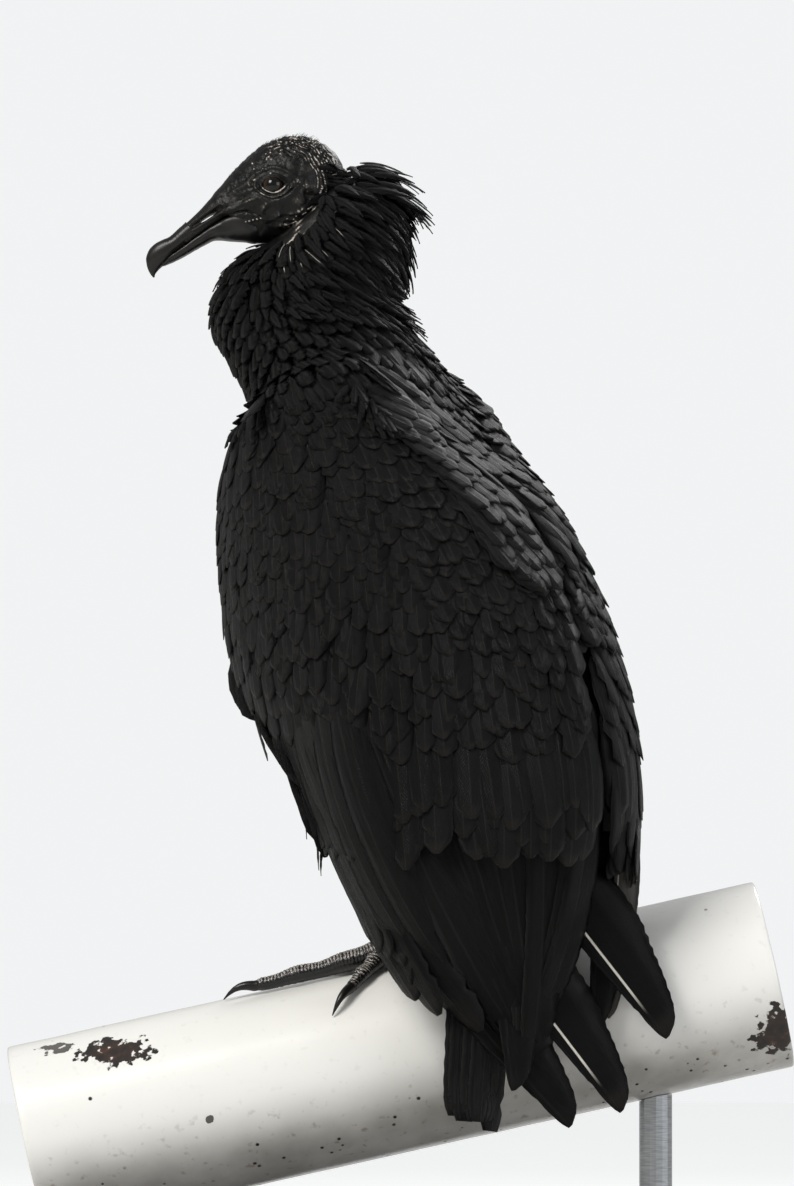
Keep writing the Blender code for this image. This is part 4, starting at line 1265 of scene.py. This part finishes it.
flights = {
    "wingEnd": 0.192, "below": 0.03,
    # how far under the wing's surface each set's shafts run, and the shares of that at their tips and middles
    "under": {"primaries": 0.0042, "secondaries": 0.0026}, "tipUnder": 0.35, "middleUnder": 0.55,
    "rootDeep": 0.0012, "ragged": 0.0012, "tilt": 0.10, "whole": 0.6, "widths": (0.96, 1.04),
    # loose feathers at the flank, the places of their roots and their lengths
    "wisp": {"deep": -0.020, "width": 0.0026, "out": (-0.6, -0.8, 0), "bow": (-0.001, 0, 0), "tone": 0.3},
    "wisps": ((-0.0498, 0.300, 0.030), (-0.0475, 0.296, 0.024), (-0.0440, 0.281, 0.028),
              (-0.0415, 0.272, 0.022), (-0.0530, 0.312, 0.020)),
    # number, root height, root angles, tip heights, tip angles, width, stack step
    "secondaries": {
        "Left": (16, 0.345, (-30, 92), (0.188, 0.166, 0.149, 0.147, 0.152, 0.173), (-10, 108), 0.0330,
                 0.00012),
        "Right": (12, 0.330, (206, 96), (0.262, 0.250, 0.246, 0.250), (190, 104), 0.0330, 0.00012),
    },
    # the long feathers of the hand, whose leading edges show below the others
    "primaries": {
        "Left": (12, 0.345, (-36, -20), (0.214, 0.187), (-22, 30), 0.0240),
        "Right": (8, 0.330, (212, 200), (0.264, 0.250), (198, 176), 0.0240),
    },
    # spread ends of the outermost ones: place of the root, tip, width
    "fingersLeft": (
        ((0.0940, -0.080, 0.2255), (0.1440, -0.066, 0.1612), 0.0370, "paleShaftAndGlint"),
        ((0.0685, -0.082, 0.1879), (0.1190, -0.071, 0.1212), 0.0370, "paleShaftAndGlint"),
        ((0.0328, -0.086, 0.1796), (0.0912, -0.077, 0.1131), 0.0370, "dark"),
        ((0.0530, -0.092, 0.2080), (0.0600, -0.0865, 0.1330), 0.0300, "dark"),
    ),
    "fingersRight": (
        ((0.1195, -0.071, 0.268), (0.1125, -0.0575, 0.172), 0.0150, "silver"),
        ((0.1090, -0.068, 0.262), (0.1040, -0.0640, 0.166), 0.0240, "dark"),
    ),
    "fingerBow": 0.0016, "fingerDeep": 0.0034, "fingerBack": {"Left": 0.42, "Right": 0.12},
    "tail": {"root": (0.046, -0.061, 0.300), "tip": (0.040, -0.079, 0.117), "turn": 40, "pairs": 6,
             "rootStep": 0.0030, "tipStep": 0.0022, "width": 0.0185, "deeper": 0.0012, "out": 0.0045,
             "uneven": 0.0030, "bow": 0.003},
    "thigh": {"apart": 0.0062, "across": 0.0075, "length": 0.026, "width": 0.0125, "depth": 0.0035,
              "lift": 0.0015, "radii": (0.030, 0.011), "reach": 0.08,
              "kinds": ("covertWorn", "scaleLoose", "lanceLoose")},
}


def stationsAt(values, share):
    return float(np.interp(share, np.linspace(0, 1, len(values)), values))


def firstHit(tree, height, turn):
    # the wing's surface at an angle, or the nearest place beside it where there is some
    for extra in range(0, 60, 2):
        for way in (1, -1):
            spot, normal = surfaceAt(tree, height, turn + way * extra)
            if spot is not None:
                return spot, normal
    return None, None


def tipAt(tree, height, turn):
    # a tip on the wing, or below its end on the way its surface was going
    low, above = flights["wingEnd"], flights["wingEnd"] + flights["below"]
    spot, normal = firstHit(tree, max(height, low), turn)
    if height < low:
        higher = firstHit(tree, above, turn)[0]
        spot = spot + (spot - higher) * ((low - height) / (above - low))
    return spot, normal


def makeFlights(side, rng):
    tree = trees[side.lower()]
    laid = []
    sets = [flights["primaries"][side] + (0.0, flights["under"]["primaries"]),
            flights["secondaries"][side] + (flights["under"]["secondaries"],)]
    for count, rootHeight, rootTurns, tipHeights, tipTurns, width, step, under in sets:
        for i in range(count):
            share = i / (count - 1)
            root, normal = firstHit(tree, rootHeight, stationsAt(rootTurns, share))
            tip, tipOut = tipAt(tree, stationsAt(tipHeights, share) + rng.normal(0, flights["ragged"]),
                                stationsAt(tipTurns, share))
            middle, middleOut = tree.find_nearest((root + tip) / 2)[:2]
            start = root - normal * (under + flights["rootDeep"])
            end = tip - tipOut * (under * flights["tipUnder"] - i * step)
            bow = middle - middleOut * under * flights["middleUnder"] - (start + end) / 2
            # the leading edge stands a little higher, so each feather lies on the one before it
            back = spineAt(middle.z)[2]
            out = (middleOut + (back - middleOut * back.dot(middleOut)) * flights["tilt"]).normalized()
            kind = "flight" if rng.uniform() < flights["whole"] else "flightWorn"
            laid.append((start, end, out, width * rng.uniform(*flights["widths"]), kinds[kind], bow,
                         unwrapPlace(root), float(rng.uniform())))
    for root, tip, width, tone in flights["fingers" + side]:
        root, tip = Vector(root), Vector(tip)
        way = tip - root
        normal = tree.find_nearest(root.lerp(tip, 0.4))[1]
        outward = (normal - way.normalized() * normal.dot(way.normalized())).normalized()
        start = root - way * flights["fingerBack"][side] - outward * flights["fingerDeep"]
        laid.append((start, tip, outward, width, kinds["finger"], outward * flights["fingerBow"],
                     unwrapPlace(root), plume["tones"][tone]))
    return laid


def makeTailFeathers(rng):
    shape = flights["tail"]
    turn = math.radians(shape["turn"])
    left, back = Vector((-math.cos(turn), -math.sin(turn), 0)), Vector((math.sin(turn), -math.cos(turn), 0))
    laid = []
    for pair in range(shape["pairs"]):
        for side in (-1, 1):
            offset = side * (pair + 0.5)
            sunk = back * (shape["out"] - shape["deeper"] * pair)
            root = Vector(shape["root"]) + left * offset * shape["rootStep"] + sunk
            tip = Vector(shape["tip"]) + left * offset * shape["tipStep"] + sunk * 0.6
            tip.z += rng.normal(0, shape["uneven"])
            out = (back + left * side * 0.06).normalized()
            laid.append((root, tip, out, shape["width"], kinds["tail"], back * shape["bow"],
                         unwrapPlace(root), float(rng.uniform())))
    return laid


def makeThighFeathers(rng):
    shape = flights["thigh"]
    laid = []
    for hip, heel in leg["thighs"].values():
        hip, heel = Vector(hip), Vector(heel)
        down = (heel - hip).normalized()
        side = down.cross(Vector((0, 1, 0))).normalized()
        front = side.cross(down)
        steps = int((heel - hip).length / shape["apart"])
        for step in range(steps + 1):
            middle = hip.lerp(heel, 0.06 + 0.92 * step / steps)
            radius = shape["radii"][0] + (shape["radii"][1] - shape["radii"][0]) * step / steps
            count = max(7, int(2 * math.pi * radius / shape["across"]))
            for turn in turnsOf(count) + step * 0.4:
                turn += rng.normal(0, 0.06)
                way = side * math.cos(turn) + front * math.sin(turn)
                start = middle + way * shape["reach"]
                spot, normal = trees["thighs"].ray_cast(start, -way, shape["reach"])[:2]
                if spot is None:
                    continue
                lie = down + way * 0.1 + side * rng.normal(0, 0.1)
                kind = str(rng.choice(shape["kinds"]))
                laid.append(layFeather(
                    trees["thighs"], spot, normal, lie, shape["length"] * rng.uniform(0.85, 1.1),
                    shape["width"] * rng.uniform(0.85, 1.1), shape["depth"],
                    shape["lift"] * rng.uniform(0, 1.6), kind, float(rng.uniform())))
    return laid


tractRows["featherNeck"] += makeNape(dice)
tractRows["featherBack"] += makeScapulars(dice)
tractRows["featherThighs"] = makeThighFeathers(dice) + makeWisps(dice)
tractRows["headBristles"] = makeBristles(dice)
tractRows["featherFlightLeft"] = makeFlights("Left", dice)
tractRows["featherFlightRight"] = makeFlights("Right", dice)
tractRows["featherTail"] = makeTailFeathers(dice)
print("roots of", sum(len(rows) for rows in tractRows.values()), "feathers laid")


looks = {
    # plumage: barbs along a vane, dark, light and worn tones, roughness, shine
    "contour": (34, "#040404", "#0b0b0c", "#211f1d", 0.38, 0.10),
    "flight": (120, "#040404", "#090909", "#1a1817", 0.36, 0.09),
    "silver": "#4b4946", "shaft": "#c9c5bb",
    # where the skin is bare: back, low and sideways; and the height under which it is scaly
    "bareFace": (-0.031, -0.030, 0.026), "scalyBelow": 0.262,
    "skin": ((0.12, "#040404"), (0.42, "#0d0c0b"), (0.66, "#37332f"), (0.92, "#b9b2aa")),
    "down": ((0.3, "#070707"), (0.8, "#131213")),
    "scales": ((0.0, "#020202"), (0.40, "#090808"), (0.72, "#2b2826"), (1.0, "#a8a29b")),
    "eye": ((0.0, "#020202"), (0.37, "#030303"), (0.43, "#1c120b"), (0.66, "#2e1e13"), (0.74, "#0b0807"),
            (1.0, "#1a1210")),
    # horn: darkest and lightest tone, roughness, stretch of its streaks
    "bill": (((0.3, "#070606"), (0.75, "#131110")), 0.26, (0.4, 1, 1)),
    "claw": (((0.3, "#090808"), (0.75, "#171514")), 0.20, (1, 1, 0.5)),
    "grimeAndShade": ((0.0, "#e9e8e4"), (0.6, "#c4c2bd"), (1.0, "#9b9892")), "stain": "#7a6a58",
    "rust": ((0.35, "#0f0b09"), (0.55, "#2a1a11"), (0.75, "#5a3620")),
    "steel": ((0.3, "#8d9093"), (0.7, "#b9bbbd")),
    "board": ((0.3, "#3a3b3d"), (0.7, "#434446")),
}


def makePlumage(name, barbs, dark, light, wornAndLit, rough, shine):
    # black keratin: a soft broad shine over close barb lines, a smoother shaft and a worn brownish edge
    material, tree, shader, place = newMaterial(name)
    vane = addNode(tree, "ShaderNodeUVMap", uv_map="vane")
    across, along = addNode(tree, "ShaderNodeSeparateXYZ", (vane,), out=None).outputs[:2]
    tone = addNode(tree, "ShaderNodeAttribute", out="Fac", attribute_name="tone")
    side = addNode(tree, "ShaderNodeMath", (across, 0.5), operation="SUBTRACT")
    side = addNode(tree, "ShaderNodeMath", (side,), operation="ABSOLUTE")
    mask = {}
    for part, value, start, end in (
        ("shaft", side, 0.030, 0.010), ("rim", side, 0.38, 0.48), ("tip", along, 0.86, 1.0),
        ("quill", side, 0.022, 0.012), ("lower", along, 0.86, 0.70), ("paleAndGlint", tone, 1.4, 1.6),
        ("silver", tone, 2.8, 3.2),
    ):
        mask[part] = addNode(tree, "ShaderNodeMapRange", {"Value": value, "From Min": start, "From Max": end},
                             interpolation_type="SMOOTHSTEP")

    # real barbs stand about 0.3 mm apart: these are drawn two to three times as coarse
    drift = addNode(tree, "ShaderNodeTexNoise", {"Vector": vane, "Scale": 7.0, "Detail": 3.0})
    lines = addNode(tree, "ShaderNodeMath", (drift, 0.10, along), operation="MULTIPLY_ADD")
    lines = addNode(tree, "ShaderNodeMath", (side, -0.62, lines), operation="MULTIPLY_ADD")
    wave = addNode(tree, "ShaderNodeMath", (lines, 2 * math.pi * barbs), operation="MULTIPLY")
    wave = addNode(tree, "ShaderNodeMath", (wave,), operation="SINE")

    aged = addNode(tree, "ShaderNodeMath", (tone, 0.7, 0.15), operation="MULTIPLY_ADD")
    aged = addNode(tree, "ShaderNodeMath", (mask["tip"], aged), operation="MULTIPLY")
    rims = addNode(tree, "ShaderNodeMath", (mask["rim"], 0.45), operation="MULTIPLY")
    edges = addNode(tree, "ShaderNodeMath", (aged, rims), operation="MAXIMUM")
    faint = addNode(tree, "ShaderNodeMath", (mask["shaft"], 0.45), operation="MULTIPLY")
    # pale quills: real white shafts on the outer primaries, painted glints on the nape feathers
    paleQuillAndGlint = addNode(tree, "ShaderNodeMath", (mask["quill"], mask["paleAndGlint"]), operation="MULTIPLY")
    paleQuillAndGlint = addNode(tree, "ShaderNodeMath", (paleQuillAndGlint, mask["lower"]), operation="MULTIPLY")
    blotch = addNode(tree, "ShaderNodeTexNoise", {"Vector": place, "Scale": 55.0, "Detail": 3.0})
    blotch = addNode(tree, "ShaderNodeMath", (blotch, 0.5), operation="MULTIPLY")
    blotch = addNode(tree, "ShaderNodeMath", (tone, 0.5, blotch), operation="MULTIPLY_ADD")
    colour = addNode(tree, "ShaderNodeValToRGB", (blotch,), stops=((0.2, dark), (0.8, light)))
    layers = ((edges, wornAndLit), (faint, wornAndLit), (mask["silver"], looks["silver"]), (paleQuillAndGlint, looks["shaft"]))
    for share, over in layers:
        colour = addNode(tree, "ShaderNodeMix", {0: share, 6: colour, 7: over}, out=2, data_type="RGBA")

    gloss = addNode(tree, "ShaderNodeMath", (tone, 0.14, rough), operation="MULTIPLY_ADD")
    gloss = addNode(tree, "ShaderNodeMath", (mask["shaft"], -0.14, gloss), operation="MULTIPLY_ADD")
    height = addNode(tree, "ShaderNodeMath", (mask["shaft"], 2.0, wave), operation="MULTIPLY_ADD")
    connect(tree, shader, {
        "Base Color": colour, "Roughness": gloss, "Specular IOR Level": shine, "Sheen Weight": 0.03,
        "Normal": addNode(tree, "ShaderNodeBump", {"Height": height, "Distance": 0.00010, "Strength": 0.75})})
    return material


def makeBareSkin():
    # nearly black leathery skin whose ridges are dry and grey, and painted paler still as highlights
    material, tree, shader, place = newMaterial("bare wrinkled black skin")
    ridges = addNode(tree, "ShaderNodeAttribute", out="Fac", attribute_name="paleAndGlint")
    speck = addNode(tree, "ShaderNodeTexNoise", {"Vector": place, "Scale": 900.0, "Detail": 4.0})
    paleAndGlint = addNode(tree, "ShaderNodeMath", (speck, 1.1, 0.42), operation="MULTIPLY_ADD")
    paleAndGlint = addNode(tree, "ShaderNodeMath", (ridges, paleAndGlint), operation="MULTIPLY")
    pores = addNode(tree, "ShaderNodeTexVoronoi", {"Vector": place, "Scale": 1500.0})
    height = addNode(tree, "ShaderNodeMath", (pores, -0.9), operation="MULTIPLY")
    height = addNode(tree, "ShaderNodeMath", (speck, 0.8, height), operation="MULTIPLY_ADD")
    connect(tree, shader, {
        "Base Color": addNode(tree, "ShaderNodeValToRGB", (paleAndGlint,), stops=looks["skin"]),
        "Roughness": addNode(tree, "ShaderNodeMath", (paleAndGlint, 0.28, 0.32), operation="MULTIPLY_ADD"),
        "Specular IOR Level": 0.24,
        "Normal": addNode(tree, "ShaderNodeBump", {"Height": height, "Distance": 0.00016, "Strength": 0.8})})
    return material


def makeDownSkin():
    # the skin under the feathers, dull and dark with sooty down
    material, tree, shader, place = newMaterial("sooty down")
    soft = addNode(tree, "ShaderNodeTexNoise", {"Vector": place, "Scale": 240.0, "Detail": 3.0})
    connect(tree, shader, {
        "Base Color": addNode(tree, "ShaderNodeValToRGB", (soft,), stops=looks["down"]),
        "Roughness": 0.9, "Specular IOR Level": 0.15})
    return material


def makeScales():
    # grey horny plates with dark creases between them: the crests that face the sky are painted pale as
    # highlights, and shine
    material, tree, shader, place = newMaterial("scaly grey foot skin")
    shape = addNode(tree, "ShaderNodeNewGeometry", out=None).outputs
    facing = addNode(tree, "ShaderNodeSeparateXYZ", (shape["Normal"],), out="Z")
    grainy = addNode(tree, "ShaderNodeTexNoise", {"Vector": place, "Scale": 420.0, "Detail": 4.0})
    patches = addNode(tree, "ShaderNodeTexNoise", {"Vector": place, "Scale": 1500.0, "Detail": 1.0})
    steps = ((shape["Pointiness"], 0.485, 0.53), (facing, -0.25, 0.85), (patches, 0.42, 0.60))
    crest, wornAndLit, patches = (
        addNode(tree, "ShaderNodeMapRange", {"Value": value, "From Min": start, "From Max": end},
                interpolation_type="SMOOTHSTEP")
        for value, start, end in steps)
    mottle = addNode(tree, "ShaderNodeMath", (patches, 0.7, 0.5), operation="MULTIPLY_ADD")
    mottle = addNode(tree, "ShaderNodeMath", (grainy, mottle), operation="MULTIPLY")
    light = addNode(tree, "ShaderNodeMath", (mottle, 1.5, 0.30), operation="MULTIPLY_ADD")
    # scales that face up are painted paler: painted highlights on their crests
    above = addNode(tree, "ShaderNodeMath", (wornAndLit, 0.75, 0.35), operation="MULTIPLY_ADD")
    light = addNode(tree, "ShaderNodeMath", (light, above), operation="MULTIPLY")
    light = addNode(tree, "ShaderNodeMath", (crest, light), operation="MULTIPLY")
    connect(tree, shader, {
        "Base Color": addNode(tree, "ShaderNodeValToRGB", (light,), stops=looks["scales"]),
        "Roughness": 0.27, "Specular IOR Level": 0.5,
        "Normal": addNode(tree, "ShaderNodeBump", {"Height": mottle, "Distance": 0.0001, "Strength": 0.6})})
    return material


def makeHorn(name, tones, rough, stretch):
    # hard polished horn with faint growth streaks
    material, tree, shader, place = newMaterial(name)
    place = addNode(tree, "ShaderNodeMapping", {"Vector": place, "Scale": stretch})
    grainy = addNode(tree, "ShaderNodeTexNoise", {"Vector": place, "Scale": 180.0, "Detail": 5.0})
    connect(tree, shader, {
        "Base Color": addNode(tree, "ShaderNodeValToRGB", (grainy,), stops=tones),
        "Roughness": addNode(tree, "ShaderNodeMath", (grainy, 0.22, rough), operation="MULTIPLY_ADD"),
        "Specular IOR Level": 0.38,
        "Normal": addNode(tree, "ShaderNodeBump", {"Height": grainy, "Distance": 0.00008, "Strength": 0.7})})
    return material


def makeEyeMaterial():
    # a wet dark eye: black pupil, deep brown iris, dark edge
    material, tree, shader, place = newMaterial("wet dark eye")
    off = addNode(tree, "ShaderNodeAttribute", out="Fac", attribute_name="off")
    fibres = addNode(tree, "ShaderNodeTexNoise", {"Vector": place, "Scale": 1400.0, "Detail": 5.0})
    ring = addNode(tree, "ShaderNodeMath", (fibres, 0.06, off), operation="MULTIPLY_ADD")
    connect(tree, shader, {
        "Base Color": addNode(tree, "ShaderNodeValToRGB", (ring,), stops=looks["eye"]),
        "Roughness": 0.09, "Specular IOR Level": 0.36})
    return material


enamel = {
    "underside": (0.004, -0.042),
    # chips: centre, half sizes, how solid
    "chips": (
        ((-0.156, -0.036, 0.154), (0.019, 0.016, 0.008), 1.0),
        ((-0.190, -0.030, 0.157), (0.010, 0.012, 0.0035), 0.9),
        ((0.206, -0.041, 0.163), (0.013, 0.014, 0.019), 1.0),
        ((0.176, -0.044, 0.137), (0.020, 0.014, 0.009), 0.8),
        ((-0.104, -0.051, 0.117), (0.002, 0.006, 0.002), 0.9),
    ),
}


def makeEnamel():
    # thick white gloss paint on a steel rail, chipped to dark rust, its underside pitted, and greyer towards
    # the bottom as painted shade clouded with grime
    material, tree, shader, place = newMaterial("chipped white enamel")
    parts = addNode(tree, "ShaderNodeSeparateXYZ", (place,), out=None).outputs
    rise = math.tan(math.radians(leg["railRise"]))
    axis = addNode(tree, "ShaderNodeMath", (parts["X"], rise, leg["railHeight"]), operation="MULTIPLY_ADD")
    above = addNode(tree, "ShaderNodeMath", (parts["Z"], axis), operation="SUBTRACT")
    ragged = addNode(tree, "ShaderNodeTexNoise", {"Vector": place, "Scale": 190.0, "Detail": 6.0})
    broad = addNode(tree, "ShaderNodeTexNoise", {"Vector": place, "Scale": 26.0, "Detail": 4.0})
    cells = addNode(tree, "ShaderNodeTexVoronoi", {"Vector": place, "Scale": 120.0})
    fray = addNode(tree, "ShaderNodeMath", (ragged, 0.5), operation="SUBTRACT")
    bare = 0.0
    for centre, reach, solid in enamel["chips"]:
        away = addNode(tree, "ShaderNodeVectorMath", (place, centre), operation="SUBTRACT")
        away = addNode(tree, "ShaderNodeVectorMath", (away, reach), operation="DIVIDE")
        far = addNode(tree, "ShaderNodeVectorMath", (away,), out="Value", operation="LENGTH")
        edge = addNode(tree, "ShaderNodeMath", (fray, 3.2, far), operation="MULTIPLY_ADD")
        spot = addNode(tree, "ShaderNodeMapRange", {"Value": edge, "From Min": 1.0, "From Max": 0.86},
                       interpolation_type="SMOOTHSTEP")
        spot = addNode(tree, "ShaderNodeMath", (spot, solid), operation="MULTIPLY")
        bare = addNode(tree, "ShaderNodeMath", (spot, bare), operation="MAXIMUM")
    under = addNode(tree, "ShaderNodeMapRange", {
        "Value": above, "From Min": enamel["underside"][0], "From Max": enamel["underside"][1]},
        interpolation_type="SMOOTHSTEP")
    crowded = addNode(tree, "ShaderNodeMath", (under, 0.16, broad), operation="MULTIPLY_ADD")
    pits, crowded, soiled = (
        addNode(tree, "ShaderNodeMapRange", {"Value": value, "From Min": start, "From Max": end},
                interpolation_type="SMOOTHSTEP")
        for value, start, end in ((cells, 0.16, 0.09), (crowded, 0.62, 0.70), (ragged, 0.60, 0.74)))
    pits = addNode(tree, "ShaderNodeMath", (pits, crowded), operation="MULTIPLY")
    bare = addNode(tree, "ShaderNodeMath", (bare, pits), operation="MAXIMUM")
    # grey painted on towards the underside, clouded: painted shade where the rail turns from the light, with
    # grime in it
    grimeAndShade = addNode(tree, "ShaderNodeMath", (broad, 0.9, 0.4), operation="MULTIPLY_ADD")
    grimeAndShade = addNode(tree, "ShaderNodeMath", (under, grimeAndShade), operation="MULTIPLY")
    grimeAndShade = addNode(tree, "ShaderNodeValToRGB", (grimeAndShade,), stops=looks["grimeAndShade"])
    stain = addNode(tree, "ShaderNodeMath", (under, 0.5, 0.08), operation="MULTIPLY_ADD")
    stain = addNode(tree, "ShaderNodeMath", (soiled, stain), operation="MULTIPLY")
    rust = addNode(tree, "ShaderNodeValToRGB", (ragged,), stops=looks["rust"])
    colour = grimeAndShade
    for share, over in ((stain, looks["stain"]), (bare, rust)):
        colour = addNode(tree, "ShaderNodeMix", {0: share, 6: colour, 7: over}, out=2, data_type="RGBA")
    thick = addNode(tree, "ShaderNodeMath", (broad, 0.5), operation="MULTIPLY")
    thick = addNode(tree, "ShaderNodeMath", (bare, -1.0, thick), operation="MULTIPLY_ADD")
    connect(tree, shader, {
        "Base Color": colour, "Coat Weight": 0.25, "Coat Roughness": 0.08,
        "Roughness": addNode(tree, "ShaderNodeMath", (bare, 0.55, 0.22), operation="MULTIPLY_ADD"),
        "Normal": addNode(tree, "ShaderNodeBump", {"Height": thick, "Distance": 0.0006, "Strength": 0.8})})
    return material


def makeSteel():
    # brushed steel: bright metal with fine turned lines round the rods
    material, tree, shader, place = newMaterial("brushed steel")
    place = addNode(tree, "ShaderNodeMapping", {"Vector": place, "Scale": (1, 1, 14)})
    lines = addNode(tree, "ShaderNodeTexNoise", {"Vector": place, "Scale": 130.0, "Detail": 4.0})
    connect(tree, shader, {
        "Base Color": addNode(tree, "ShaderNodeValToRGB", (lines,), stops=looks["steel"]), "Metallic": 1.0,
        "Roughness": addNode(tree, "ShaderNodeMath", (lines, 0.16, 0.26), operation="MULTIPLY_ADD"),
        "Normal": addNode(tree, "ShaderNodeBump", {"Height": lines, "Distance": 0.00005, "Strength": 0.5})})
    return material


def makeBoard():
    # satin lacquered board, warm grey, with an even sprayed skin
    material, tree, shader, place = newMaterial("satin lacquered board")
    spray = addNode(tree, "ShaderNodeTexNoise", {"Vector": place, "Scale": 700.0, "Detail": 2.0})
    cloud = addNode(tree, "ShaderNodeTexNoise", {"Vector": place, "Scale": 9.0, "Detail": 3.0})
    connect(tree, shader, {
        "Base Color": addNode(tree, "ShaderNodeValToRGB", (cloud,), stops=looks["board"]), "Roughness": 0.42,
        "Normal": addNode(tree, "ShaderNodeBump", {"Height": spray, "Distance": 0.00004, "Strength": 0.4})})
    return material


def paintSkin():
    # bare head, feathered body and scaly feet are one mesh with three finishes
    mesh = skin.data
    mesh.materials.clear()
    for material in (makeDownSkin(), makeBareSkin(), makeScales()):
        mesh.materials.append(material)
    # the pale field: dry grey ridges, with highlights painted on them
    paleAndGlint = headRelief(readPlaces(mesh.vertices, "co"))[1]
    addField(mesh, "paleAndGlint", paleAndGlint.astype(np.float32))
    centres = readPlaces(mesh.polygons, "center")
    forward, side, up = np.moveaxis(headPlaces(centres), -1, 0)
    back, low, wide = looks["bareFace"]
    bare = (forward > back) & (up > low) & (np.abs(side) < wide)
    scaly = centres[:, 2] < looks["scalyBelow"]
    finish = np.where(scaly, 2, np.where(bare, 1, 0)).astype(np.int32)
    mesh.polygons.foreach_set("material_index", finish)
    mesh.update()


paintSkin()
plumage = {name: makePlumage(f"black {name} feather", *looks[name]) for name in ("contour", "flight")}
coatPieces = {}
for name, rows in tractRows.items():
    kind = "flight" if "Flight" in name or "Tail" in name else "contour"
    coatPieces[name] = feathered(name, rows, plumage[kind])

billHorn, clawHorn = makeHorn("black bill horn", *looks["bill"]), makeHorn("black claw horn", *looks["claw"])
wetEye, enamelPaint, steel, board = makeEyeMaterial(), makeEnamel(), makeSteel(), makeBoard()
finishes = [(billUpper, billHorn, "horn"), (billLower, billHorn, "horn"), (perchRail, enamelPaint, "paint")]
finishes += [(eye, wetEye, "eye") for eye in eyes]
finishes += [(claw, clawHorn, "claw") for claw, node in claws]
for piece, material, slot in finishes:
    piece.data.materials.clear()
    piece.data.materials.append(material)
for node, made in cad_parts.items():
    if node.startswith("stand"):
        material = steel if "rod" in node else board
        made.data.materials.clear()
        made.data.materials.append(material)
print("every piece has its finish")

pieces = [skin, billUpper, billLower, perchRail] + eyes + [claw for claw, node in claws]
for piece in pieces + list(coatPieces.values()):
    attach(piece, "root")
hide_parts(*fleshNodes)
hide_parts("wing_left_secondaries", "wing_left_primaries")
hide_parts("wing_right_flight")
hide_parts("tail")
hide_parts("perch")
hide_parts("bill_upper")
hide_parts("bill_lower")
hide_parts("eye_left")
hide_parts("eye_right")
for claw, node in claws:
    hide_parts(node)
